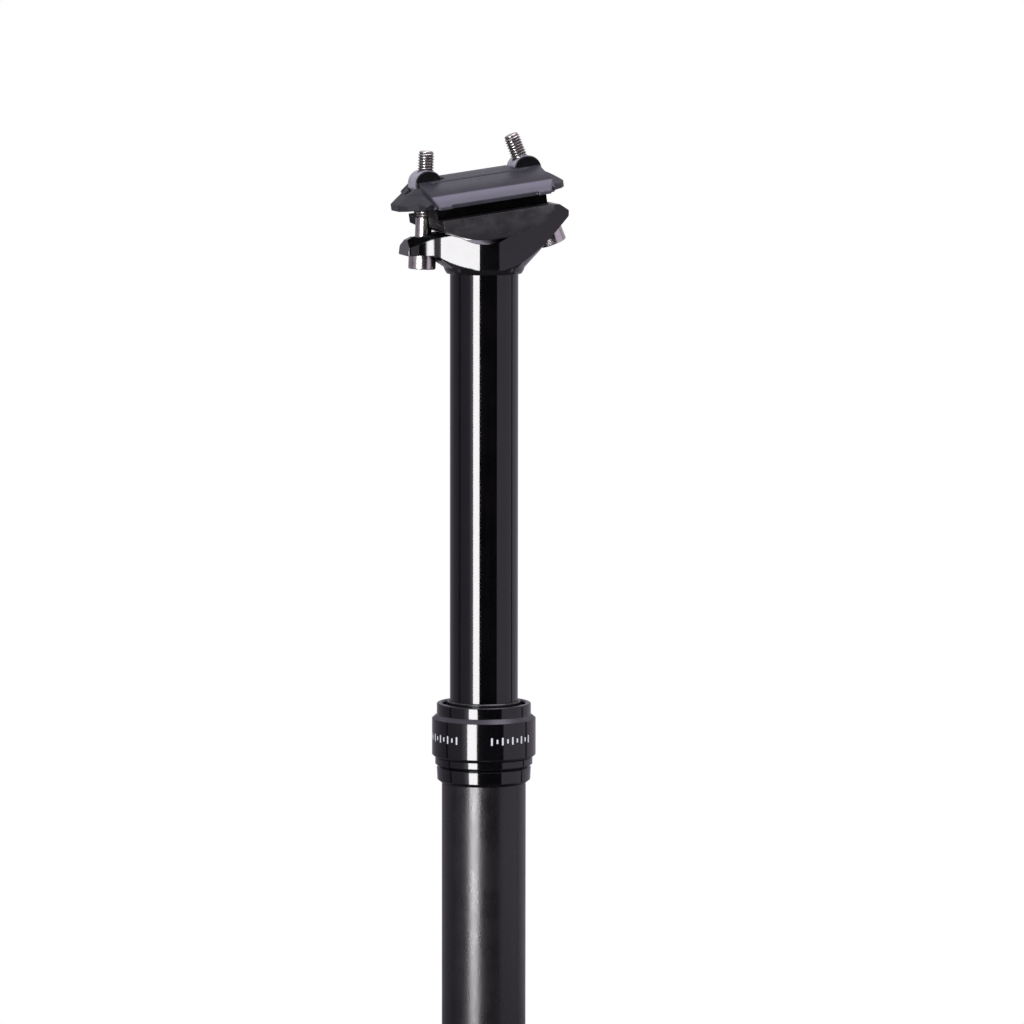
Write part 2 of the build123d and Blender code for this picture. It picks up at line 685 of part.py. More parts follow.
with BuildPart() as barrel_screw:
    with BuildSketch(Plane.XZ.offset(-lever_width / 2)):
        with Locations((cable_offset, eye_height)):
            Circle(barrel_screw_diameter / 2)
    extrude(amount=barrel_screw_length)
    with BuildSketch(Plane.XZ.offset(-lever_width / 2)):
        with Locations((cable_offset, eye_height)):
            RegularPolygon(barrel_screw_diameter / 4, 6, major_radius=False)
    extrude(amount=barrel_screw_length / 2, mode=Mode.SUBTRACT)


def seat_height(forward):
    """Height of the cradle's seat above the head's lower face."""
    return seat_rise - sqrt(seat_radius ** 2 - (forward - seat_forward) ** 2)


def three_point_plane(first, second, third):
    """Plane through three points with its normal upward."""
    across = (second - first).cross(third - first)
    return Plane(first, x_dir=second - first, z_dir=across if across.Z > 0 else -across)


# Flare of the head's foot. It opens sooner towards the ear than towards the arm.
def flare(knee, *mouth):
    """Half outline of the flare, turned a half turn by the caller."""
    with BuildLine() as outline:
        Polyline((0, 0), (foot_rim_radius, 0), (foot_radius, foot_rim_height),
                 (foot_waist_radius, foot_waist_height))
        ThreePointArc((foot_waist_radius, foot_waist_height), knee, mouth[0])
        Polyline(*mouth, (0, mouth[-1][1]), (0, 0))
    return outline


with BuildPart() as head_bell:
    for facing, knee, mouth in ((-1, ear_knee, [(ear_root, ear_underside)]),
                                (1, arm_knee, [arm_mouth, (bell_spread, bell_spread_height)])):
        with BuildSketch(Plane((0, 0, head_base), x_dir=(0, facing, 0), z_dir=(facing, 0, 0))):
            add(flare(knee, *mouth).line)
            make_face()
        revolve(axis=Axis.Z, revolution_arc=180)
    with BuildSketch(Plane.XY.offset(head_base + ear_underside)):
        Rectangle(2 * bell_spread, 2 * bell_spread)
        with Locations((-bell_spread, 0)):
            Rectangle(2 * bell_spread, 2 * bell_spread, mode=Mode.SUBTRACT)
    extrude(amount=seat_rise)
    with BuildSketch(Plane.XY.offset(head_base + bell_spread_height)):
        Rectangle(2 * bell_spread, 2 * bell_spread)
    extrude(amount=seat_rise)

# Head: side outline, plan with a round middle and flat flanks, and belled foot, cut for the seat,
# bolts and stanchion
seat_back = seat_forward - sqrt(seat_radius ** 2 - (seat_rise - arm_seat_height) ** 2)
front_turn = radians(head_front_turn)
rear_turn = radians(head_rear_turn)
front_touch = (head_barrel_radius * sin(front_turn), head_barrel_radius * cos(front_turn))
rear_touch = (-head_barrel_radius * sin(rear_turn), head_barrel_radius * cos(rear_turn))
ear_waist = (head_barrel_radius - ear_half_width * cos(front_turn)) / sin(front_turn)
arm_half_width = (head_barrel_radius - arm_reach * sin(rear_turn)) / cos(rear_turn)
scallop_lean_angle = radians(scallop_lean)
scallop_reach = seat_radius + scallop_depth - scallop_radius
scallop_centre = (seat_forward - scallop_reach * sin(scallop_lean_angle),
                  seat_rise - scallop_reach * cos(scallop_lean_angle))
with BuildPart() as head:
    with BuildSketch(head_side):
        with BuildLine():
            Polyline((seat_back, arm_seat_height), (-arm_crest, arm_crest_height),
                     (-arm_reach, arm_end_height), (-arm_reach, arm_underside_height),
                     (-arm_root, arm_root_height), (-arm_root, 0), (ear_root, 0), (ear_root, ear_underside),
                     (ear_reach, ear_underside),
                     (ear_reach - ear_rake, ear_end_height), (ear_shoulder, ear_shoulder_height),
                     (seat_front, seat_height(seat_front)))
            ThreePointArc((seat_front, seat_height(seat_front)), (seat_forward, seat_height(seat_forward)),
                          (seat_back, arm_seat_height))
        make_face()
    extrude(amount=2 * head_barrel_radius, both=True)
    with BuildSketch(Plane.XY.offset(head_base)) as head_plan:
        with BuildLine():
            for side in (-1, 1):
                Polyline((ear_reach, 0), (ear_reach, side * ear_half_width), (ear_waist, side * ear_half_width),
                         (front_touch[0], side * front_touch[1]))
                ThreePointArc((front_touch[0], side * front_touch[1]), (0, side * head_barrel_radius),
                              (rear_touch[0], side * rear_touch[1]))
                Polyline((rear_touch[0], side * rear_touch[1]), (-arm_reach, side * arm_half_width),
                         (-arm_reach, 0))
        make_face()
        fillet(head_plan.vertices().filter_by_position(Axis.X, front_touch[0] + overrun, ear_reach - overrun),
               radius=ear_waist_radius)
        fillet(head_plan.vertices().filter_by_position(Axis.X, ear_reach - overrun, ear_reach + overrun)
               .filter_by(lambda corner: abs(corner.Y) > overrun), radius=head_corner_radius)
        fillet(head_plan.vertices().filter_by_position(Axis.X, -arm_reach - overrun, -arm_reach + overrun)
               .filter_by(lambda corner: abs(corner.Y) > overrun), radius=head_corner_radius)
    extrude(amount=seat_rise, mode=Mode.INTERSECT)
    add(head_bell.part, mode=Mode.INTERSECT)
    for side in (-1, 1):
        split(bisect_by=three_point_plane(*[
            Vector(forward, side * across, head_base + height)
            for forward, across, height in (shoulder_root, shoulder_tip, shoulder_ridge)]), keep=Keep.BOTTOM)
    with BuildSketch(head_side):
        with Locations(scallop_centre):
            Circle(scallop_radius)
    extrude(amount=2 * head_barrel_radius, both=True, mode=Mode.SUBTRACT)
    with BuildSketch(Plane.XY.offset(head_base)):
        Circle(stanchion_radius + fit_gap)
    extrude(amount=socket_depth, mode=Mode.SUBTRACT)
    for line in (front_line, rear_line):
        with BuildSketch(line.offset(spot_lift)):
            Circle(spot_diameter / 2)
        extrude(amount=-spot_run, mode=Mode.SUBTRACT)
        with BuildSketch(line):
            SlotOverall(bolt_diameter + 2 * slot_rock, slot_width)
        extrude(amount=nut_rise + nut_spread, mode=Mode.SUBTRACT)
        with BuildSketch(Plane(line.origin, x_dir=line.x_dir, z_dir=(0, -1, 0))):
            Circle(washer_diameter / 2 + washer_gap)
        extrude(amount=washer_length / 2 + free_gap, both=True, mode=Mode.SUBTRACT)

# Cradle: a trough whose underside is the seat's cylinder, with a groove for each rail
hull_radius = seat_radius - seat_gap
half_cradle = cradle_length / 2
cradle_half_width = cradle_width / 2
rail_half_spacing = rail_spacing / 2
hull_bottom = rail_rise - hull_radius
hull_end = rail_rise - sqrt(hull_radius ** 2 - half_cradle ** 2)
corner_share = sqrt(0.5)
corner_low = hull_bottom + cradle_edge_radius
corner_in = cradle_half_width - cradle_edge_radius
block_half = cradle_block_width / 2
with BuildPart() as cradle:
    with BuildSketch(clamp_side):
        with BuildLine():
            Polyline((half_cradle, hull_end), (half_cradle, cradle_block_height),
                     (-half_cradle, cradle_block_height), (-half_cradle, hull_end))
            ThreePointArc((-half_cradle, hull_end), (0, hull_bottom), (half_cradle, hull_end))
        make_face()
    extrude(amount=cradle_width, both=True)
    with BuildSketch(clamp_end):
        with BuildLine():
            Polyline((-corner_in, hull_bottom), (corner_in, hull_bottom))
            ThreePointArc((corner_in, hull_bottom),
                          (corner_in + cradle_edge_radius * corner_share,
                           corner_low - cradle_edge_radius * corner_share), (cradle_half_width, corner_low))
            Polyline((cradle_half_width, corner_low), (cradle_half_width, -cradle_lip), (block_half, -cradle_lip),
                     (block_half, cradle_block_height), (-block_half, cradle_block_height),
                     (-block_half, -cradle_lip), (-cradle_half_width, -cradle_lip), (-cradle_half_width, corner_low))
            ThreePointArc((-cradle_half_width, corner_low),
                          (-corner_in - cradle_edge_radius * corner_share,
                           corner_low - cradle_edge_radius * corner_share), (-corner_in, hull_bottom))
        make_face()
    extrude(amount=cradle_length, both=True, mode=Mode.INTERSECT)
    with BuildSketch(clamp_end):
        with Locations((rail_half_spacing, 0), (-rail_half_spacing, 0)):
            Circle(rail_diameter / 2)
    extrude(amount=cradle_length, both=True, mode=Mode.SUBTRACT)
    with BuildSketch(clamp_top.offset(cradle_block_height)):
        with Locations((half_cradle, 0), (-half_cradle, 0)):
            SlotOverall(2 * notch_depth, notch_width)
    extrude(amount=-(cradle_block_height - hull_bottom + overrun), mode=Mode.SUBTRACT)

# Upper clamp: two wings over the rails, and a nose at each end for its bolt
half_upper = upper_width / 2
half_crease = crease_width / 2


def upper_end_profile():
    """End view of the upper clamp: crown, slopes, lips and flat underside."""
    with BuildLine() as outline:
        Polyline((0, upper_underside), (half_upper, upper_underside), (half_upper, lip_height),
                 (half_crease, crease_height), (crown_half_width, upper_height),
                 (-crown_half_width, upper_height), (-half_crease, crease_height), (-half_upper, lip_height),
                 (-half_upper, upper_underside), (0, upper_underside))
    return outline


with BuildPart() as clamp_wings:
    with BuildSketch(clamp_end.offset(nut_middle)):
        add(upper_end_profile().line)
        make_face()
    extrude(amount=wing_half_length, both=True)
    for fore in (-1, 1):
        with BuildSketch(clamp_side):
            with BuildLine():
                Polyline((nut_middle + fore * (wing_half_length + overrun), upper_underside - overrun),
                         (nut_middle + fore * (wing_half_length - wing_undercut), upper_underside),
                         (nut_middle + fore * wing_half_length, crease_height),
                         (nut_middle + fore * (wing_half_length + overrun), crease_height + overrun), close=True)
            make_face()
        extrude(amount=upper_width, both=True, mode=Mode.SUBTRACT)
        for side in (-1, 1):
            with BuildSketch(clamp_top.offset(upper_underside - overrun)):
                with BuildLine():
                    Polyline((nut_middle + fore * (wing_half_length + overrun), side * half_crease),
                             (nut_middle + fore * wing_half_length, side * half_crease),
                             (nut_middle + fore * (wing_half_length - wing_sweep), side * (half_upper + overrun)),
                             (nut_middle + fore * (wing_half_length + overrun), side * (half_upper + overrun)),
                             close=True)
                make_face()
            extrude(amount=upper_height + overrun, mode=Mode.SUBTRACT)

with BuildPart() as upper_clamp:
    with BuildSketch(clamp_end.offset(nut_middle)):
        add(upper_end_profile().line)
        make_face()
    extrude(amount=nose_length, both=True)
    with BuildSketch(clamp_top.offset(upper_underside)) as plan:
        with BuildLine():
            for fore in (-1, 1):
                Polyline((nut_middle + fore * wing_half_length, half_crease),
                         (nut_middle + fore * nose_shoulder, nose_root_half_width),
                         (nut_middle + fore * nose_waist, nose_waist_half_width),
                         (nut_middle + fore * nose_length, nose_half_width),
                         (nut_middle + fore * nose_length, -nose_half_width),
                         (nut_middle + fore * nose_waist, -nose_waist_half_width),
                         (nut_middle + fore * nose_shoulder, -nose_root_half_width),
                         (nut_middle + fore * wing_half_length, -half_crease))
            Line((nut_middle + wing_half_length, half_crease), (nut_middle - wing_half_length, half_crease))
            Line((nut_middle + wing_half_length, -half_crease), (nut_middle - wing_half_length, -half_crease))
        make_face()
    extrude(amount=upper_height, mode=Mode.INTERSECT)
    with BuildSketch(clamp_side):
        with BuildLine():
            for fore in (-1, 1):
                ThreePointArc((nut_middle + fore * crown_half_length, upper_height),
                              (nut_middle + fore * nose_mid, nose_mid_height),
                              (nut_middle + fore * nose_length, nose_end_height))
                Line((nut_middle + fore * nose_length, nose_end_height),
                     (nut_middle + fore * nose_length, upper_underside))
            Line((nut_middle - crown_half_length, upper_height), (nut_middle + crown_half_length, upper_height))
            Line((nut_middle - nose_length, upper_underside), (nut_middle + nose_length, upper_underside))
        make_face()
    extrude(amount=upper_width, both=True, mode=Mode.INTERSECT)
    for fore in (-1, 1):
        for side in (-1, 1):
            ridge, tip, root = [
                Vector(*clamp_top.from_local_coords(Vector(nut_middle + fore * x, side * y, z)))
                for x, y, z in ((ridge_forward, ridge_half_width, ridge_height),
                                (nose_length, nose_half_width, nose_end_height),
                                (nose_shoulder, nose_root_half_width, nose_root_height))]
            split(bisect_by=three_point_plane(ridge, tip, root), keep=Keep.BOTTOM)
    add(clamp_wings.part)
    with BuildSketch(clamp_end):
        with Locations((rail_half_spacing, 0), (-rail_half_spacing, 0)):
            Circle(rail_diameter / 2)
    extrude(amount=nose_length + overrun, both=True, mode=Mode.SUBTRACT)
    with BuildSketch(clamp_top.offset(upper_underside)):
        with Locations((nut_middle, half_upper), (nut_middle, -half_upper)):
            Rectangle(lip_recess_length, 2 * lip_recess_width)
    extrude(amount=lip_recess_height - upper_underside, mode=Mode.SUBTRACT)
    for fore in (-1, 1):
        nut_forward = nut_middle + fore * nut_spread
        with BuildSketch(clamp_side):
            with Locations((nut_forward, nut_rise)):
                Circle(nut_diameter / 2 + nut_play)
            with Locations((nut_forward, nut_rise + nut_diameter / 2)):
                Rectangle(nut_diameter + 2 * nut_play, nut_diameter)
        extrude(amount=nut_length / 2 + nut_side_play, both=True, mode=Mode.SUBTRACT)
        with BuildSketch(clamp_top.offset(upper_underside)):
            with Locations((nut_forward + fore * (clamp_slot_far - clamp_slot_near) / 2, 0)):
                SlotOverall(clamp_slot_far + clamp_slot_near, slot_width)
        extrude(amount=upper_height, mode=Mode.SUBTRACT)
    groove_fall = (crown_groove_offset - crown_half_width) / (half_crease - crown_half_width)
    groove_top = upper_height - groove_fall * (upper_height - crease_height)
    for side in (-1, 1):
        with BuildSketch(clamp_end.offset(nut_middle)):
            with Locations((side * crown_groove_offset, groove_top)):
                Rectangle(crown_groove_width, 2 * crown_groove_depth)
        extrude(amount=crown_groove_length / 2, both=True, mode=Mode.SUBTRACT)


def saddle_bolt(line):
    """Socket head bolt: its head below the plane, its shank and thread above."""
    up = Axis(line.origin, line.z_dir)
    with BuildPart() as piece:
        with BuildSketch(line.offset(-bolt_head_height)):
            Circle(bolt_head_diameter / 2)
        extrude(amount=bolt_head_height)
        fillet(piece.edges().filter_by(GeomType.CIRCLE).sort_by(up)[0], radius=head_edge_radius)
        with BuildSketch(line.offset(-bolt_head_height)):
            RegularPolygon(socket_width / 2, 6, major_radius=False)
        extrude(amount=bolt_socket_depth, mode=Mode.SUBTRACT)
        with BuildSketch(line):
            Circle(bolt_diameter / 2)
        extrude(amount=bolt_length - thread_length)
        with BuildSketch(line.offset(bolt_length - thread_length)):
            Circle(bolt_diameter / 2 - thread_relief)
        extrude(amount=thread_length)
        chamfer(piece.edges().filter_by(GeomType.CIRCLE).sort_by(up)[-1], length=bolt_tip_chamfer)
    return piece


def rocking_washer(line):
    """Half round washer under a bolt's head, flat side down."""
    with BuildPart() as piece:
        with BuildSketch(Plane(line.origin, x_dir=line.x_dir, z_dir=(0, -1, 0))):
            with Locations((0, sliding_gap)):
                Circle(washer_diameter / 2 - sliding_gap)
            with Locations((0, -washer_diameter / 2 + sliding_gap)):
                Rectangle(2 * washer_diameter, washer_diameter, mode=Mode.SUBTRACT)
        extrude(amount=washer_length / 2, both=True)
        with BuildSketch(line):
            Circle(bolt_diameter / 2 + sliding_gap)
        extrude(amount=washer_diameter, mode=Mode.SUBTRACT)
    return piece


def barrel_nut(line, nut_height):
    """Cross drilled round nut that lies along Y."""
    centre = line.from_local_coords(Vector(0, 0, nut_height))
    with BuildPart() as piece:
        with BuildSketch(Plane(centre, x_dir=line.x_dir, z_dir=(0, -1, 0))):
            Circle(nut_diameter / 2)
        extrude(amount=nut_length / 2, both=True)
        chamfer(piece.edges().filter_by(GeomType.CIRCLE), length=nut_chamfer)
        with BuildSketch(line.offset(nut_height - nut_diameter)):
            Circle(bolt_diameter / 2 + sliding_gap)
        extrude(amount=2 * nut_diameter, mode=Mode.SUBTRACT)
    return piece


pieces = {
    "lower_tube": lower_tube, "collar_foot": collar_foot, "collar_band": collar_band,
    "seal_collar": seal_collar, "collar_seal": collar_seal, "dust_wiper": dust_wiper,
    "guide_bush": guide_bush, "slide_ring": slide_ring, "stanchion": stanchion,
    "anti_rotation_keys": anti_rotation_keys, "cartridge_tube": cartridge_tube,
    "cartridge_gland": cartridge_gland, "rod_seal": rod_seal, "gland_ring": gland_ring,
    "top_out_bumper": top_out_bumper, "main_piston": main_piston, "piston_seal": piston_seal,
    "piston_nut": piston_nut, "piston_rod": piston_rod, "rod_nut": rod_nut, "valve_pin": valve_pin,
    "floating_piston": floating_piston, "floating_piston_seal": float_seal, "cartridge_cap": cartridge_cap,
    "cap_ring": cap_ring, "fill_valve": fill_valve, "foot_plug": foot_plug, "plug_ring": plug_ring,
    "bottom_out_bumper": bottom_out_bumper, "actuator_housing": actuator_housing,
    "housing_screws": housing_screws, "lever_pivot_pin": lever_pivot_pin, "actuator_lever": actuator_lever,
    "cable_barrel": cable_barrel, "barrel_screw": barrel_screw, "head": head, "cradle": cradle,
    "upper_clamp": upper_clamp,
    "front_bolt": saddle_bolt(front_line), "rear_bolt": saddle_bolt(rear_line),
    "front_washer": rocking_washer(front_line), "rear_washer": rocking_washer(rear_line),
    "front_barrel_nut": barrel_nut(front_line, front_nut_height),
    "rear_barrel_nut": barrel_nut(rear_line, rear_nut_height)}

os.makedirs("parts", exist_ok=True)
for name, piece in pieces.items():
    piece.part.label = name
    export_step(piece.part, f"parts/{name}.step")
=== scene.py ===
import json
from math import ceil, cos, pi, radians, sin

import bmesh
import bpy
from mathutils import Matrix, Quaternion, Vector


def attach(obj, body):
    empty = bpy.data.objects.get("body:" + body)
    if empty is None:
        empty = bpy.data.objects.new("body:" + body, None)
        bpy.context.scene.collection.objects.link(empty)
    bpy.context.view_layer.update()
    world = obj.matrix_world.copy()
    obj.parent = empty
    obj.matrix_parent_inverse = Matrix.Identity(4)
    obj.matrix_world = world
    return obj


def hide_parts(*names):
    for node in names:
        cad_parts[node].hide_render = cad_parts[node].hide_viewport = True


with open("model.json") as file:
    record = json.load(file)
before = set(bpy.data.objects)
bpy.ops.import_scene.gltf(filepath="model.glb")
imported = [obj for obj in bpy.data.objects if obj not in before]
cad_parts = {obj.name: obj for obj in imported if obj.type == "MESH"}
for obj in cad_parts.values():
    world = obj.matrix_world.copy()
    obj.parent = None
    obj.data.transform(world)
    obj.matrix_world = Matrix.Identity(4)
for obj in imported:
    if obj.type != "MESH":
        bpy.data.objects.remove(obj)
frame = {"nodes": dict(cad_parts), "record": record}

scene = bpy.context.scene
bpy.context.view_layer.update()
print("stage 1: packed model loaded,", len(frame["nodes"]), "nodes")


class Signal:
    # A socket of a shader or geometry tree, so that sums read as sums.
    def __init__(self, tree, socket=None):
        self.tree = tree
        self.socket = socket

    def make(self, kind, inputs=(), out=0, **settings):
        node = self.tree.nodes.new(kind)
        for name, value in settings.items():
            setattr(node, name, value)
        for name, value in dict(inputs).items():
            if isinstance(value, Signal):
                self.tree.links.new(value.socket, node.inputs[name])
            else:
                node.inputs[name].default_value = value
        return Signal(self.tree, node.outputs[out] if len(node.outputs) else None)

    def calc(self, operation, *values):
        return self.make("ShaderNodeMath", enumerate(values), operation=operation)

    def vector(self, operation, other=None, out=0):
        inputs = {0: self} if other is None else {0: self, 1: other}
        return self.make("ShaderNodeVectorMath", inputs, out=out, operation=operation)

    def __add__(self, other):
        return self.calc("ADD", self, other)

    def __radd__(self, other):
        return self.calc("ADD", other, self)

    def __sub__(self, other):
        return self.calc("SUBTRACT", self, other)

    def __rsub__(self, other):
        return self.calc("SUBTRACT", other, self)

    def __mul__(self, other):
        return self.calc("MULTIPLY", self, other)

    def __rmul__(self, other):
        return self.calc("MULTIPLY", other, self)

    def __truediv__(self, other):
        return self.calc("DIVIDE", self, other)

    def __rtruediv__(self, other):
        return self.calc("DIVIDE", other, self)

    def __abs__(self):
        return self.calc("ABSOLUTE", self)

    def clamped(self, low=0.0, high=1.0):
        return self.make("ShaderNodeClamp", {"Value": self, "Min": low, "Max": high})

    def between(self, low, high):
        # 0 at low and below, 1 at high and above.
        return self.make(
            "ShaderNodeMapRange",
            {"Value": self, "From Min": low, "From Max": high},
            interpolation_type="SMOOTHSTEP",
        )

    def part(self, axis):
        return self.make("ShaderNodeSeparateXYZ", {"Vector": self}, out=axis)

    def blend(self, low, high):
        # Colour low where this signal is 0 and colour high where it is 1.
        return self.make(
            "ShaderNodeMix", {"Factor": self, 6: low, 7: high}, out=2, data_type="RGBA"
        )


# Where each saddle bolt's head sits, and which way its thread runs.
boltPlaces = {
    "front": {"seat": (0.0231, 0.0, 0.1951), "axis": (-0.0401653, 0.0, 0.9991931)},
    "rear": {"seat": (-0.0238, 0.0, 0.2035), "axis": (0.3753931, 0.0, 0.9268657)},
}
# Midway between the rails' axes, and the clamp's own up and forward directions.
railSizes = {
    "middle": (0.00172, 0.0, 0.21313), "up": (0.13917, 0.0, 0.99027), "ahead": (0.99027, 0.0, -0.13917),
}
edgeRadius = 0.00022  # how far the CAD's crisp edges look rounded

# grain: lines or spots per metre along X, Y and Z. relief: depth in metres.
finishes = {
    "black_stanchion": {
        "dark": (0.0016, 0.0014, 0.0018), "light": (0.0040, 0.0034, 0.0042),
        "rough": (0.060, 0.090), "grain": (500, 500, 24), "relief": 0.0000012,
        "lines": (60, 60, 5200), "lineRelief": 0.0000006, "mottle": 90, "metal": 0.0,
    },
    "black_head": {
        "dark": (0.0022, 0.0020, 0.0025), "light": (0.0060, 0.0054, 0.0066),
        "rough": (0.075, 0.120), "grain": (1500, 1500, 1500), "relief": 0.0000022, "edge": 0.00045,
        "lines": (300, 300, 300), "lineRelief": 0.000002, "mottle": 140, "metal": 0.0,
    },
    "black_collar": {
        "dark": (0.0020, 0.0018, 0.0022), "light": (0.0050, 0.0044, 0.0054),
        "rough": (0.065, 0.100), "grain": (900, 900, 900), "relief": 0.0000010, "edge": 0.00032,
        "lines": (40, 40, 4200), "lineRelief": 0.000001, "mottle": 120, "metal": 0.0,
    },
    "grey_tube": {
        "dark": (0.0070, 0.0056, 0.0066), "light": (0.0120, 0.0098, 0.0112),
        "rough": (0.250, 0.330), "grain": (1500, 1500, 1500), "relief": 0.0000320,
        "lines": (900, 900, 240), "lineRelief": 0.000004, "mottle": 90, "metal": 0.0,
    },
    "dark_cradle": {
        "dark": (0.0200, 0.0172, 0.0190), "light": (0.0380, 0.0330, 0.0355),
        "rough": (0.280, 0.420), "grain": (1300, 1300, 1300), "relief": 0.0000140,
        "lines": (420, 420, 420), "lineRelief": 0.000009, "mottle": 260, "metal": 0.0,
    },
    "dark_clamp": {
        "dark": (0.0160, 0.0160, 0.0225), "light": (0.0280, 0.0280, 0.0385),
        "rough": (0.330, 0.420), "grain": (2200, 2200, 2200), "relief": 0.0000060, "edge": 0.00090,
        "lines": (500, 500, 500), "lineRelief": 0.000003, "mottle": 150, "metal": 0.0,
    },
    "bolt_steel": {
        "dark": (0.470, 0.440, 0.425), "light": (0.620, 0.590, 0.575),
        "rough": (0.180, 0.260), "grain": (1200, 1200, 1200), "relief": 0.0000010, "edge": 0.00006,
        "lines": (150, 150, 2600), "lineRelief": 0.0000008, "mottle": 400, "metal": 1.0,
    },
    "nut_alloy": {
        "dark": (0.560, 0.560, 0.610), "light": (0.680, 0.680, 0.730),
        "rough": (0.300, 0.420), "grain": (2400, 2400, 2400), "relief": 0.0000040,
        "lines": (200, 6000, 200), "lineRelief": 0.000002, "mottle": 300, "metal": 0.75,
    },
    "seal_rubber": {
        "dark": (0.0070, 0.0068, 0.0076), "light": (0.0140, 0.0134, 0.0146),
        "rough": (0.130, 0.210), "grain": (3200, 3200, 3200), "relief": 0.0000040,
        "lines": (400, 400, 400), "lineRelief": 0.000004, "mottle": 500, "metal": 0.0,
    },
    "bush_polymer": {
        "dark": (0.052, 0.047, 0.040), "light": (0.090, 0.082, 0.070),
        "rough": (0.420, 0.540), "grain": (2600, 2600, 2600), "relief": 0.0000060,
        "lines": (90, 90, 3000), "lineRelief": 0.000004, "mottle": 260, "metal": 0.0,
    },
    "key_brass": {
        "dark": (0.520, 0.350, 0.130), "light": (0.720, 0.520, 0.230),
        "rough": (0.240, 0.340), "grain": (1800, 1800, 1800), "relief": 0.0000030,
        "lines": (120, 120, 5200), "lineRelief": 0.000002, "mottle": 300, "metal": 1.0,
    },
    "cartridge_alloy": {
        "dark": (0.480, 0.490, 0.500), "light": (0.640, 0.645, 0.655),
        "rough": (0.220, 0.320), "grain": (1600, 1600, 1600), "relief": 0.0000020,
        "lines": (60, 60, 4600), "lineRelief": 0.000002, "mottle": 160, "metal": 1.0,
    },
    "rod_steel": {
        "dark": (0.500, 0.500, 0.510), "light": (0.660, 0.660, 0.665),
        "rough": (0.100, 0.170), "grain": (1500, 1500, 1500), "relief": 0.0000010,
        "lines": (60, 60, 6000), "lineRelief": 0.000001, "mottle": 200, "metal": 1.0,
    },
    "black_foot": {
        "dark": (0.0100, 0.0095, 0.0105), "light": (0.0190, 0.0175, 0.0195),
        "rough": (0.240, 0.330), "grain": (1700, 1700, 1700), "relief": 0.0000060,
        "lines": (60, 60, 3600), "lineRelief": 0.000003, "mottle": 200, "metal": 0.0,
    },
    "white_mark": {
        "dark": (0.720, 0.720, 0.730), "light": (0.860, 0.860, 0.865),
        "rough": (0.380, 0.500), "grain": (4000, 4000, 4000), "relief": 0.0000030,
        "lines": (900, 900, 900), "lineRelief": 0.000002, "mottle": 600, "metal": 0.0,
    },
}


def noiseOf(place, perMetre, detail):
    stretched = place.vector("MULTIPLY", perMetre)
    return place.make("ShaderNodeTexNoise", {"Vector": stretched, "Scale": 1.0, "Detail": detail})


# The six functions that follow each change a finish's colour, roughness, metal or height in places.
# The black of the nuts' end faces is a painted dark reflection.
nutLook = {"face": (0.00600, 0.00612), "black": (0.006, 0.006, 0.007, 1.0), "polish": 0.12}


def nutFacesPaintedDark(place, mix):
    # The barrel nuts' end faces are painted black and smoother as a painted dark reflection; their round
    # side stays bare.
    face = abs(place.part("Y")).between(*nutLook["face"])
    mix["colour"] = face.blend(mix["colour"], nutLook["black"])
    mix["rough"] = mix["rough"] - face * nutLook["polish"]
    mix["metal"] = mix["metal"] * (1.0 - face)


# The groove colour is partly oil and partly painted shade.
grooveLook = {
    "radius": (0.00246, 0.00288), "bareTip": (0.0362, 0.0367),
    "share": 0.88, "oil": (0.030, 0.026, 0.026, 1.0), "rough": 0.20, "metal": 0.5,
}


def oiledGrooves(place, mix):
    # Oil and painted shade darken the grooves of the thread, but not the bolt's bare tip.
    grooves = None
    for bolt in boltPlaces.values():
        offset = place.vector("SUBTRACT", bolt["seat"])
        along = offset.vector("DOT_PRODUCT", bolt["axis"], out=1)
        reach = offset.vector("CROSS_PRODUCT", bolt["axis"]).vector("LENGTH", out=1)
        here = 1.0 - reach.between(*grooveLook["radius"])
        here = here * (1.0 - along.between(*grooveLook["bareTip"]))
        grooves = here if grooves is None else place.calc("MAXIMUM", grooves, here)
    mix["colour"] = (grooves * grooveLook["share"]).blend(mix["colour"], grooveLook["oil"])
    mix["rough"] = mix["rough"] + grooves * grooveLook["rough"]
    mix["metal"] = mix["metal"] - grooves * grooveLook["metal"]


# The black colour is painted shade between the rails and on the end faces; the pale colour is the worn
# lips.
cradleLook = {
    "inside": (0.0186, 0.0200), "ends": (0.30, 0.50), "endRough": 0.35,
    "share": 0.92, "black": (0.0035, 0.0032, 0.0036, 1.0), "metal": 0.85,
    "worn": (0.2120, 0.2165), "waver": 0.004, "wornShare": 0.40,
    "pale": (0.075, 0.066, 0.068, 1.0), "wornRough": 0.12,
}


def wornAndShadedCradle(place, mix):
    # Between the rails and on its end faces it is painted blacker as painted shade, and its outer lips
    # are worn paler.
    facing = place.make("ShaderNodeTexCoord", out=1)
    # Painted shade: the end faces and the gap between the rails are coloured near black.
    ends = abs(facing.part("X")).between(*cradleLook["ends"])
    inside = 1.0 - abs(place.part("Y")).between(*cradleLook["inside"])
    inside = place.calc("MAXIMUM", inside, ends)
    worn = (place.part("Z") + cradleLook["waver"] * mix["mottle"]).between(*cradleLook["worn"])
    worn = worn * (1.0 - inside)
    shadeDarkened = (inside * cradleLook["share"]).blend(mix["colour"], cradleLook["black"])
    mix["colour"] = (worn * cradleLook["wornShare"]).blend(shadeDarkened, cradleLook["pale"])
    mix["rough"] = mix["rough"] + worn * cradleLook["wornRough"] + ends * cradleLook["endRough"]
    mix["metal"] = inside * cradleLook["metal"]


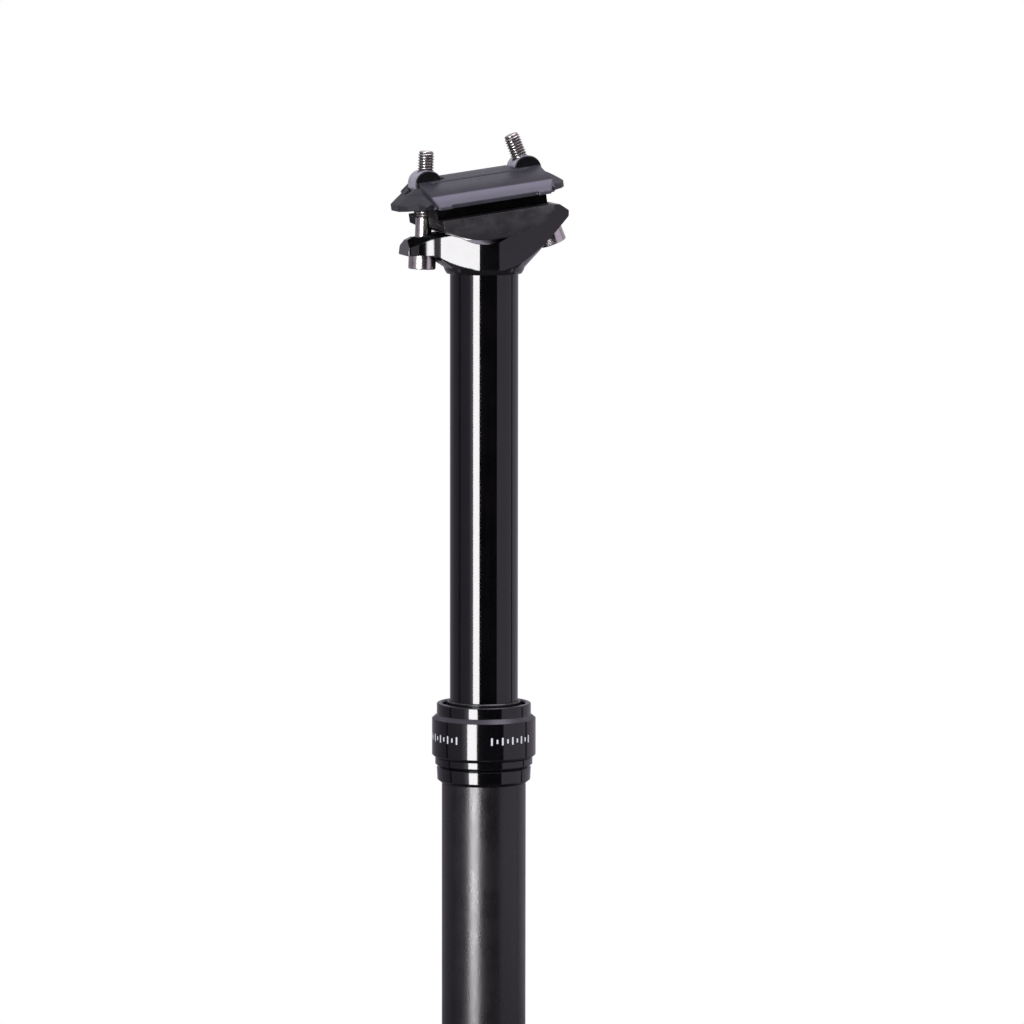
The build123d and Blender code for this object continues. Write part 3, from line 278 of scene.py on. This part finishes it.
# The shade colour is painted shade; the pale colour is a painted highlight on the side band.
clampLook = {
    "crease": (0.0064, 0.0067), "hollow": (0.0066, 0.0094),
    "wings": (0.0236, 0.0248), "wingShare": 0.6,
    "grooveMiddle": 0.0094, "grooveSide": (0.0004, 0.0010), "grooveEnd": (0.0175, 0.0190),
    "share": 0.85, "shade": (0.005, 0.005, 0.008, 1.0), "rough": 0.25,
    "band": (0.0236, 0.0244), "bandHighlight": (0.0036, 0.0063), "bandHighlightShare": (0.26, 0.56),
    "pale": (0.112, 0.109, 0.142, 1.0),
}


def clampShadeAndHighlight(place, mix):
    # Painted shade gathers above the long crease, in the grooves and on the wings, and a painted
    # highlight lies on the side band.
    offset = place.vector("SUBTRACT", railSizes["middle"])
    above = offset.vector("DOT_PRODUCT", railSizes["up"], out=1)
    along = abs(offset.vector("DOT_PRODUCT", railSizes["ahead"], out=1))
    aside = abs(place.part("Y"))
    upper = above.between(*clampLook["crease"])
    hollow = upper * (1.0 - above.between(*clampLook["hollow"]))
    wings = clampLook["wingShare"] * along.between(*clampLook["wings"])
    groove = 1.0 - abs(aside - clampLook["grooveMiddle"]).between(*clampLook["grooveSide"])
    groove = groove * (1.0 - along.between(*clampLook["grooveEnd"])) * upper
    shade = place.calc("MAXIMUM", place.calc("MAXIMUM", hollow, wings), groove)
    shaded = (shade * clampLook["share"]).blend(mix["colour"], clampLook["shade"])
    # The side band is painted lighter, with a painted highlight along its top.
    least, more = clampLook["bandHighlightShare"]
    band = (1.0 - upper) * aside.between(*clampLook["band"])
    bandHighlight = band * (least + more * above.between(*clampLook["bandHighlight"]))
    mix["colour"] = bandHighlight.blend(shaded, clampLook["pale"])
    mix["rough"] = mix["rough"] + shade * clampLook["rough"]


shoulderLook = {
    "inner": (0.01732, 0.01750), "outer": (0.01885, 0.01900), "lower": (0.0200, 0.0215),
    "colour": (0.022, 0.020, 0.027, 1.0), "rough": 0.26,
}


def satinShoulder(place, mix):
    # The sloping shoulder of the seal housing is satin, the rest polished.
    reach = place.vector("MULTIPLY", (1.0, 1.0, 0.0)).vector("LENGTH", out=1)
    satin = reach.between(*shoulderLook["inner"]) * (1.0 - reach.between(*shoulderLook["outer"]))
    satin = satin * place.part("Z").between(*shoulderLook["lower"])
    mix["colour"] = satin.blend(mix["colour"], shoulderLook["colour"])
    mix["rough"] = mix["rough"] + satin * shoulderLook["rough"]


flankLook = {
    "from": 0.0050, "length": 0.0155, "slope": 0.062, "step": (0.0172, 0.0272), "depth": 0.0027,
    "flareFrom": 0.0262, "flareLength": 0.0200, "flareSlope": 0.34,
}


def forgedFlanks(place, mix):
    # The head's flanks draw in towards the front ear, whose sides flare again.
    ahead = place.part("X")
    drawn = (ahead - flankLook["from"]).clamped(0.0, flankLook["length"]) * flankLook["slope"]
    stepped = ahead.between(*flankLook["step"]) * flankLook["depth"]
    flared = (ahead - flankLook["flareFrom"]).clamped(0.0, flankLook["flareLength"])
    mix["height"] = mix["height"] - drawn - stepped + flared * flankLook["flareSlope"]


ownMarks = {
    "nut_alloy": nutFacesPaintedDark, "bolt_steel": oiledGrooves, "dark_cradle": wornAndShadedCradle,
    "dark_clamp": clampShadeAndHighlight, "black_collar": satinShoulder, "black_head": forgedFlanks,
}
# What all finishes share: the noises' detail, and how they mix into tone and roughness.
sharedLook = {
    "grainDetail": 3.0, "lineDetail": 2.0, "mottleDetail": 4.0, "bevelSamples": 6,
    "toneSpread": (0.30, 0.70), "toneShares": (0.55, 0.45),
    "roughSpread": (0.32, 0.68), "roughShares": (0.6, 0.4),
}


def newFinish(name, look):
    material = bpy.data.materials.new(name)
    material.use_nodes = True
    material.node_tree.nodes.clear()
    start = Signal(material.node_tree)
    place = start.make("ShaderNodeTexCoord", out=3)
    grain = noiseOf(place, look["grain"], sharedLook["grainDetail"])
    lines = noiseOf(place, look["lines"], sharedLook["lineDetail"])
    mottle = noiseOf(place, (look["mottle"],) * 3, sharedLook["mottleDetail"])
    patches, specks = sharedLook["toneShares"]
    low, high = sharedLook["toneSpread"]
    tone = (patches * mottle.between(low, high) + specks * grain.between(low, high)).clamped()
    patches, streaks = sharedLook["roughShares"]
    rough = (patches * mottle + streaks * lines).between(*sharedLook["roughSpread"])
    mix = {
        "mottle": mottle,
        "colour": tone.blend((*look["dark"], 1.0), (*look["light"], 1.0)),
        "rough": look["rough"][0] + rough * (look["rough"][1] - look["rough"][0]),
        "metal": look["metal"],
        "height": grain * look["relief"] + lines * look["lineRelief"],
    }
    if name in ownMarks:
        ownMarks[name](place, mix)
    edge = {"Radius": look.get("edge", edgeRadius)}
    rounded = start.make("ShaderNodeBevel", edge, samples=sharedLook["bevelSamples"])
    bumps = {"Height": mix["height"], "Distance": 1.0, "Strength": 1.0, "Normal": rounded}
    surface = start.make("ShaderNodeBsdfPrincipled", {
        "Base Color": mix["colour"], "Roughness": mix["rough"], "Metallic": mix["metal"],
        "Normal": start.make("ShaderNodeBump", bumps),
    })
    start.make("ShaderNodeOutputMaterial", {"Surface": surface})
    return material


materials = {name: newFinish(name, look) for name, look in finishes.items()}
slotOfNode = {}
for entry in frame["record"]["materials"]:
    for node in entry.get("nodes", ()):
        slotOfNode[node] = entry["slot"]
for name, obj in frame["nodes"].items():
    slotName = slotOfNode.get(name) or obj.data.materials[0].name.split(".")[0]
    obj.data.materials.clear()
    obj.data.materials.append(materials[slotName])
print("stage 2: finishes on the CAD nodes")


# Saddle bolts with a true thread, in metres from the underside of the head.
boltSizes = {
    "headRadius": 0.0050, "headHeight": 0.0060, "headEdge": 0.0005, "rimShare": 0.3, "seatShare": 0.4,
    "socketFlats": 0.0050, "socketDepth": 0.0032, "socketMouth": 0.00025,
    "drillRadius": 0.0009, "drillDepth": 0.0004, "neck": 0.0004,
    "shankRadius": 0.0030, "shankEnd": 0.0130, "shankEdge": 0.0004, "aboveShank": 0.0002,
    "tip": 0.0370, "tipChamfer": 0.0006, "tipEdge": 0.0001, "bareTip": 0.0002,
    "pitch": 0.0010, "rootRadius": 0.00242, "crestDrop": 0.00003, "runOut": 0.0012,
    "rootShare": 0.25, "flankShare": 0.625, "sides": 48, "rowsPerTurn": 16,
    "nudge": 0.0001, "weld": 0.000004, "threadCrease": 50.0, "bodyCrease": 25.0,
}
mergeDistance = 0.000003  # of corners that belong together in a finished mesh


def newTree(name, inputs):
    tree = bpy.data.node_groups.new(name, "GeometryNodeTree")
    tree.interface.new_socket("Geometry", in_out="OUTPUT", socket_type="NodeSocketGeometry")
    for label, kind in inputs.items():
        tree.interface.new_socket(label, in_out="INPUT", socket_type=kind)
    given = tree.nodes.new("NodeGroupInput")
    return tree, Signal(tree), {label: Signal(tree, given.outputs[label]) for label in inputs}


def grow(name, tree, values):
    # The tree's result as a plain mesh object, with no modifier left on it.
    obj = bpy.data.objects.new(name, bpy.data.meshes.new(name))
    scene.collection.objects.link(obj)
    modifier = obj.modifiers.new("Grow", "NODES")
    modifier.node_group = tree
    for item in tree.interface.items_tree:
        if item.in_out == "INPUT" and item.name in values:
            modifier[item.identifier] = values[item.name]
    obj.update_tag()
    bpy.context.view_layer.update()
    graph = bpy.context.evaluated_depsgraph_get()
    mesh = bpy.data.meshes.new_from_object(obj.evaluated_get(graph), depsgraph=graph)
    obj.modifiers.clear()
    obj.data = mesh
    return obj


def threadTree():
    number, whole = "NodeSocketFloat", "NodeSocketInt"
    tree, start, given = newTree("threadTree", {
        "Pitch": number, "Crest Radius": number, "Root Radius": number,
        "Root Share": number, "Flank Share": number, "Start": number, "End": number, "Run Out": number,
        "Sides": whole, "Rows": whole, "Turns": number, "Nudge": number, "Weld": number,
        "Material": "NodeSocketMaterial",
    })
    sheet = start.make("GeometryNodeMeshGrid", {
        "Size X": 1.0, "Size Y": 1.0,
        "Vertices X": given["Sides"] + 1, "Vertices Y": given["Rows"] + 1,
    })
    place = start.make("GeometryNodeInputPosition")
    round_ = place.part("X") + 0.5
    along = (place.part("Y") + 0.5) * given["Turns"]
    phase = start.calc("FRACT", along + given["Nudge"])  # so a whole turn isn't rounded down
    hill = 1.0 - abs(2.0 * phase - 1.0)
    hill = ((hill - given["Root Share"]) / given["Flank Share"]).clamped()
    rise = given["Start"] + given["Pitch"] * (along + round_ - 1.0)
    rise = rise.clamped(given["Start"], given["End"])
    fade = start.calc(
        "MINIMUM", (rise - given["Start"]) / given["Run Out"], (given["End"] - rise) / given["Run Out"]
    ).clamped()
    radius = given["Root Radius"] + (given["Crest Radius"] - given["Root Radius"]) * hill * fade
    turn = round_ * (2.0 * pi)
    moved = start.make("ShaderNodeCombineXYZ", {
        "X": radius * start.calc("COSINE", turn),
        "Y": radius * start.calc("SINE", turn),
        "Z": rise,
    })
    wound = start.make("GeometryNodeSetPosition", {"Geometry": sheet, "Position": moved})
    joined = start.make("GeometryNodeMergeByDistance", {"Geometry": wound, "Distance": given["Weld"]})
    real = start.make("GeometryNodeRealizeInstances", {"Geometry": joined})
    painted = start.make(
        "GeometryNodeSetMaterial", {"Geometry": real, "Material": given["Material"]}
    )
    start.make("NodeGroupOutput", {"Geometry": painted})
    return tree


def turnedMesh(name, rings, sides, material):
    # Rings of (radius as a function of angle, height), the first and last closed.
    corners, faces = [], []
    for radius, height in rings:
        for k in range(sides):
            angle = 2.0 * pi * k / sides
            reach = radius(angle) if callable(radius) else radius
            corners.append((reach * cos(angle), reach * sin(angle), height))
    for ring in range(len(rings) - 1):
        for k in range(sides):
            low, high = ring * sides, (ring + 1) * sides
            faces.append((low + k, low + (k + 1) % sides, high + (k + 1) % sides, high + k))
    faces.append(tuple(reversed(range(sides))))
    faces.append(tuple(range((len(rings) - 1) * sides, len(rings) * sides)))
    mesh = bpy.data.meshes.new(name)
    mesh.from_pydata(corners, [], faces)
    mesh.materials.append(material)
    obj = bpy.data.objects.new(name, mesh)
    scene.collection.objects.link(obj)
    return obj


def hexagon(acrossFlats):
    def reach(angle):
        wedge = pi / 3.0
        return acrossFlats / 2.0 / cos((angle + wedge / 2.0) % wedge - wedge / 2.0)
    return reach


def joinMeshes(objs):
    first = objs[0]
    with bpy.context.temp_override(
        active_object=first, object=first, selected_objects=objs, selected_editable_objects=objs
    ):
        bpy.ops.object.join()
    return first


def faceOutward(mesh, angle):
    work = bmesh.new()
    work.from_mesh(mesh)
    bmesh.ops.remove_doubles(work, verts=work.verts, dist=mergeDistance)
    bmesh.ops.recalc_face_normals(work, faces=work.faces)
    work.to_mesh(mesh)
    work.free()
    mesh.shade_smooth()
    mesh.set_sharp_from_angle(angle=angle)


def newBolt(side, sizes, place):
    mouth = hexagon(sizes["socketFlats"])
    chamfered = hexagon(sizes["socketFlats"] + 2.0 * sizes["socketMouth"])
    under = -sizes["headHeight"]
    rim = sizes["headEdge"] * sizes["rimShare"]
    seat = sizes["headEdge"] * sizes["seatShare"]
    rings = [
        (sizes["drillRadius"], under + sizes["socketDepth"] + sizes["drillDepth"]),
        (mouth, under + sizes["socketDepth"]),
        (mouth, under + sizes["socketMouth"]),
        (chamfered, under),
        (sizes["headRadius"] - sizes["headEdge"], under),
        (sizes["headRadius"] - rim, under + rim),
        (sizes["headRadius"], under + sizes["headEdge"]),
        (sizes["headRadius"], -seat),
        (sizes["headRadius"] - seat, 0.0),
        (sizes["shankRadius"] + sizes["neck"] / 2.0, 0.0),
        (sizes["shankRadius"], sizes["neck"]),
        (sizes["shankRadius"], sizes["shankEnd"] - sizes["shankEdge"]),
        (sizes["rootRadius"], sizes["shankEnd"] + sizes["aboveShank"]),
        (sizes["rootRadius"], sizes["tip"] - sizes["tipChamfer"]),
        (sizes["rootRadius"] - sizes["tipChamfer"] / 2.0, sizes["tip"] - sizes["tipEdge"]),
        (sizes["rootRadius"] - sizes["tipChamfer"], sizes["tip"]),
    ]
    name = side + "_bolt_threaded"
    body = turnedMesh(name, rings, sizes["sides"], materials["bolt_steel"])
    turns = ceil((sizes["tip"] - sizes["shankEnd"]) / sizes["pitch"]) + 1
    thread = grow(name + "_turns", boltThread, {
        "Pitch": sizes["pitch"], "Crest Radius": sizes["shankRadius"] - sizes["crestDrop"],
        "Root Radius": sizes["rootRadius"], "Root Share": sizes["rootShare"],
        "Flank Share": sizes["flankShare"], "Start": sizes["shankEnd"],
        "End": sizes["tip"] - sizes["bareTip"], "Run Out": sizes["runOut"], "Sides": sizes["sides"],
        "Rows": turns * sizes["rowsPerTurn"], "Turns": float(turns), "Nudge": sizes["nudge"],
        "Weld": sizes["weld"], "Material": materials["bolt_steel"],
    })
    faceOutward(thread.data, radians(sizes["threadCrease"]))
    faceOutward(body.data, radians(sizes["bodyCrease"]))
    bolt = joinMeshes([body, thread])
    turn = Vector((0.0, 0.0, 1.0)).rotation_difference(Vector(place["axis"])).to_matrix().to_4x4()
    bolt.data.transform(Matrix.Translation(place["seat"]) @ turn)
    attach(bolt, side + "_bolt_body")
    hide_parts(side + "_bolt")
    return bolt


boltThread = threadTree()
bolts = [newBolt(side, boltSizes, place) for side, place in boltPlaces.items()]
print("stage 3: threaded saddle bolts,", [len(b.data.polygons) for b in bolts], "faces")


# Index marks round the collar: groups of long and short ticks.
markSizes = {
    "groups": 4, "perGroup": 9, "firstAngle": 20.0, "step": 6.2, "radius": 0.01907,
    "middle": 0.0173, "width": 0.00065, "height": 0.0028, "shortShare": 0.55,
    "corner": 0.00018, "lift": 0.00004, "crease": 30.0,
}


def markTree():
    number, whole = "NodeSocketFloat", "NodeSocketInt"
    tree, start, given = newTree("markTree", {
        "Groups": whole, "Per Group": whole, "First Angle": number, "Step": number,
        "Radius": number, "Middle": number, "Width": number, "Height": number,
        "Short Share": number, "Corner": number, "Lift": number,
        "Material": "NodeSocketMaterial",
    })
    outline = start.make("GeometryNodeCurvePrimitiveQuadrilateral", {
        "Width": given["Width"], "Height": given["Height"],
    })
    softened = start.make("GeometryNodeFilletCurve", {
        "Curve": outline, "Radius": given["Corner"], "Count": 4, "Limit Radius": True,
    }, mode="POLY")
    filled = start.make("GeometryNodeFillCurve", {"Curve": softened})
    raised = start.make("GeometryNodeExtrudeMesh", {
        "Mesh": filled, "Offset Scale": given["Lift"], "Individual": False,
    })
    index = start.make("GeometryNodeInputIndex")
    group = start.calc("FLOOR", (index + 0.5) / given["Per Group"])
    along = index - group * given["Per Group"] - (given["Per Group"] - 1.0) / 2.0
    angle = given["First Angle"] + group * (2.0 * pi) / given["Groups"] + along * given["Step"]
    place = start.make("ShaderNodeCombineXYZ", {
        "X": given["Radius"] * start.calc("COSINE", angle),
        "Y": given["Radius"] * start.calc("SINE", angle),
        "Z": given["Middle"],
    })
    spots = start.make("GeometryNodePoints", {
        "Count": given["Groups"] * given["Per Group"], "Position": place,
    })
    odd = start.calc("PINGPONG", abs(along), 1.0)
    tall = 1.0 - odd * (1.0 - given["Short Share"])
    stand = start.make("ShaderNodeCombineXYZ", {"X": pi / 2.0, "Y": 0.0, "Z": angle + pi / 2.0})
    shape = start.make("ShaderNodeCombineXYZ", {"X": 1.0, "Y": tall, "Z": 1.0})
    copies = start.make("GeometryNodeInstanceOnPoints", {
        "Points": spots, "Instance": raised, "Rotation": stand, "Scale": shape,
    })
    real = start.make("GeometryNodeRealizeInstances", {"Geometry": copies})
    painted = start.make(
        "GeometryNodeSetMaterial", {"Geometry": real, "Material": given["Material"]}
    )
    start.make("NodeGroupOutput", {"Geometry": painted})
    return tree


marks = grow("collar_index_marks", markTree(), {
    "Groups": markSizes["groups"], "Per Group": markSizes["perGroup"],
    "First Angle": radians(markSizes["firstAngle"]), "Step": radians(markSizes["step"]),
    "Radius": markSizes["radius"], "Middle": markSizes["middle"],
    "Width": markSizes["width"], "Height": markSizes["height"],
    "Short Share": markSizes["shortShare"], "Corner": markSizes["corner"],
    "Lift": markSizes["lift"], "Material": materials["white_mark"],
})
faceOutward(marks.data, radians(markSizes["crease"]))
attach(marks, "outer")
print("stage 4: index marks,", len(marks.data.polygons), "faces")


cameraSizes = {
    "aim": (-0.00996, 0.00249, 0.0997), "turn": 14.0, "rise": 5.9, "roll": 0.068, "away": 2.2,
    "lens": 211.1, "sensor": 36.0, "clip": (0.05, 20.0),
}
white, violet, cool = (1.0, 0.985, 1.0), (1.06, 0.96, 1.16), (0.98, 0.98, 1.10)
# Upright cards round the post. Angles are from the camera's side, positive to the right of the
# picture, and glow runs from the first angle to the second. A card lights gloss or matt alone.
usualCard = {"away": 1.9, "tall": (-1.0, 1.1), "tint": violet, "shows": "gloss", "steps": 24}
cardSizes = {
    "farLeftCard": {"turn": (-180.0, -92.0), "glow": (0.36, 0.22)},
    "leftSlot": {"turn": (-92.0, -87.0), "glow": (0.02, 0.02)},
    "dimCard": {"turn": (-87.0, -50.0), "glow": (0.26, 0.38)},
    "keyFringe": {"turn": (-50.0, -36.0), "glow": (0.45, 1.70)},
    "keyPanel": {
        "turn": (-36.4, -15.3), "away": 1.6, "tall": (-0.75, 0.34), "glow": (23.0, 23.0), "tint": white,
    },
    "darkCard": {"turn": (-18.0, 44.8), "glow": (0.0, 0.0)},
    "rightCard": {"turn": (44.8, 106.0), "glow": (0.72, 0.58)},
    "rightSlot": {"turn": (106.0, 111.0), "glow": (0.02, 0.02)},
    "farRightCard": {"turn": (111.0, 180.0), "glow": (0.55, 0.36)},
    "softPanel": {
        "turn": (-55.0, 55.0), "away": 1.5, "tall": (-0.4, 1.0), "glow": (1.6, 1.3), "tint": cool,
        "shows": "matt",
    },
}
# Cards overhead: how far they reach to the right and towards the camera, and how high they hang.
usualTop = {"up": 1.5, "tint": violet, "shows": "gloss"}
topSizes = {
    "overheadLeft": {"across": (-0.75, 0.50), "deep": (-0.42, 1.0), "glow": (0.5, 4.2)},
    "overheadRight": {"across": (0.50, 1.50), "deep": (-0.42, 1.0), "glow": (4.2, 0.4)},
    "overheadBack": {"across": (-1.50, 1.50), "deep": (-1.80, -0.42), "glow": (0.5, 0.5)},
    "overheadSoft": {
        "across": (-0.65, 0.65), "deep": (-0.65, 0.65), "up": 1.4, "glow": (1.5, 1.5), "tint": cool,
        "shows": "matt",
    },
}
lowSizes = {"inner": 0.05, "outer": 0.60, "up": -0.205, "glow": 0.12, "sides": 64}
floorSizes = {
    "radius": 0.62, "down": -0.2221, "sides": 128, "grain": 900, "detail": 3.0, "spread": (0.3, 0.7),
    "dark": (0.86, 0.86, 0.86, 1.0), "light": (0.90, 0.90, 0.90, 1.0), "rough": 0.8,
}
skySizes = {"seen": (1.0, 1.0, 1.0, 1.0), "light": (0.52, 0.53, 0.56, 1.0)}


def bearing(angle):
    turn = radians(cameraSizes["turn"]) - radians(angle)
    return Vector((sin(turn), cos(turn), 0.0))


def newGlow(name, tint, glow):
    # Glow runs from the first value to the second with the mesh's own attribute.
    material = bpy.data.materials.new(name)
    material.use_nodes = True
    material.node_tree.nodes.clear()
    start = Signal(material.node_tree)
    share = start.make("ShaderNodeAttribute", out=2, attribute_name="share")
    strongest = max(*glow, 0.001)  # more than nothing, so that a black card divides too
    first, last = [(*[value * strength / strongest for value in tint], 1.0) for strength in glow]
    light = start.make(
        "ShaderNodeEmission", {"Color": share.blend(first, last), "Strength": strongest}
    )
    start.make("ShaderNodeOutputMaterial", {"Surface": light})
    return material


def ringOf(radius, height, sides):
    angles = [2.0 * pi * k / sides for k in range(sides)]
    return [(radius * cos(angle), radius * sin(angle), height) for angle in angles]


def newPanel(name, corners, faces, material, seen=False, shares=None, shows="gloss"):
    mesh = bpy.data.meshes.new(name)
    mesh.from_pydata(corners, [], faces)
    mesh.materials.append(material)
    if shares:
        mesh.attributes.new("share", "FLOAT", "POINT").data.foreach_set("value", shares)
    obj = bpy.data.objects.new(name, mesh)
    scene.collection.objects.link(obj)
    if not seen:
        obj.visible_camera = obj.visible_shadow = False
        obj.visible_diffuse = shows == "matt"
        obj.visible_glossy = shows == "gloss"
    return obj


for name, own in cardSizes.items():
    card = {**usualCard, **own}
    steps, corners, shares = card["steps"], [], []
    for k in range(steps + 1):
        angle = card["turn"][0] + (card["turn"][1] - card["turn"][0]) * k / steps
        spot = bearing(angle) * card["away"]
        corners += [(spot.x, spot.y, height) for height in card["tall"]]
        shares += [k / steps, k / steps]
    faces = [(2 * k, 2 * k + 1, 2 * k + 3, 2 * k + 2) for k in range(steps)]
    glow = newGlow(name, card["tint"], card["glow"])
    newPanel(name, corners, faces, glow, shares=shares, shows=card["shows"])

for name, own in topSizes.items():
    card = {**usualTop, **own}
    corners = [
        bearing(90.0) * right + bearing(0.0) * near + Vector((0.0, 0.0, card["up"]))
        for right in card["across"] for near in card["deep"]
    ]
    glow = newGlow(name, card["tint"], card["glow"])
    newPanel(name, corners, [(0, 1, 3, 2)], glow, shares=[0.0, 0.0, 1.0, 1.0], shows=card["shows"])

# A dim ring round the foot, a little above the floor, for gloss alone.
lowSides = lowSizes["sides"]
lowCorners = ringOf(lowSizes["inner"], lowSizes["up"], lowSides)
lowCorners += ringOf(lowSizes["outer"], lowSizes["up"], lowSides)
lowFaces = [(k, (k + 1) % lowSides, lowSides + (k + 1) % lowSides, lowSides + k) for k in range(lowSides)]
newPanel("lowCard", lowCorners, lowFaces, newGlow("lowCard", violet, (lowSizes["glow"],) * 2))

floorPaint = bpy.data.materials.new("paleFloor")
floorPaint.use_nodes = True
floorPaint.node_tree.nodes.clear()
floorStart = Signal(floorPaint.node_tree)
floorPlace = floorStart.make("ShaderNodeTexCoord", out=3)
floorNoise = noiseOf(floorPlace, (floorSizes["grain"],) * 3, floorSizes["detail"])
floorColour = floorNoise.between(*floorSizes["spread"]).blend(floorSizes["dark"], floorSizes["light"])
floorSurface = floorStart.make(
    "ShaderNodeBsdfPrincipled", {"Base Color": floorColour, "Roughness": floorSizes["rough"]}
)
floorStart.make("ShaderNodeOutputMaterial", {"Surface": floorSurface})
floorRim = ringOf(floorSizes["radius"], floorSizes["down"], floorSizes["sides"])
newPanel("paleFloor", floorRim, [tuple(range(floorSizes["sides"]))], floorPaint, seen=True)

sky = bpy.data.worlds.new("studio")
sky.use_nodes = True
sky.node_tree.nodes.clear()
scene.world = sky
skyStart = Signal(sky.node_tree)
direct = skyStart.make("ShaderNodeLightPath", out="Is Camera Ray")
direct = direct + skyStart.make("ShaderNodeLightPath", out="Is Glossy Ray")
direct = (direct + skyStart.make("ShaderNodeLightPath", out="Is Transmission Ray")).clamped()
skyGlow = skyStart.make("ShaderNodeBackground", {
    "Color": direct.blend(skySizes["light"], skySizes["seen"]), "Strength": 1.0,
})
skyStart.make("ShaderNodeOutputWorld", {"Surface": skyGlow})

lens = bpy.data.cameras.new("photoCamera")
lens.lens = cameraSizes["lens"]
lens.sensor_width = cameraSizes["sensor"]
lens.clip_start, lens.clip_end = cameraSizes["clip"]
camera = bpy.data.objects.new("photoCamera", lens)
scene.collection.objects.link(camera)
rise = radians(cameraSizes["rise"])
toward = bearing(0.0) * cos(rise) + Vector((0.0, 0.0, sin(rise)))
camera.location = Vector(cameraSizes["aim"]) + toward * cameraSizes["away"]
facing = (-toward).to_track_quat("-Z", "Y")
level = Quaternion((0.0, 0.0, 1.0), radians(cameraSizes["roll"]))
camera.rotation_euler = (facing @ level).to_euler()
scene.camera = camera
scene.view_settings.view_transform = "Standard"
print("stage 5: stage, light and camera")
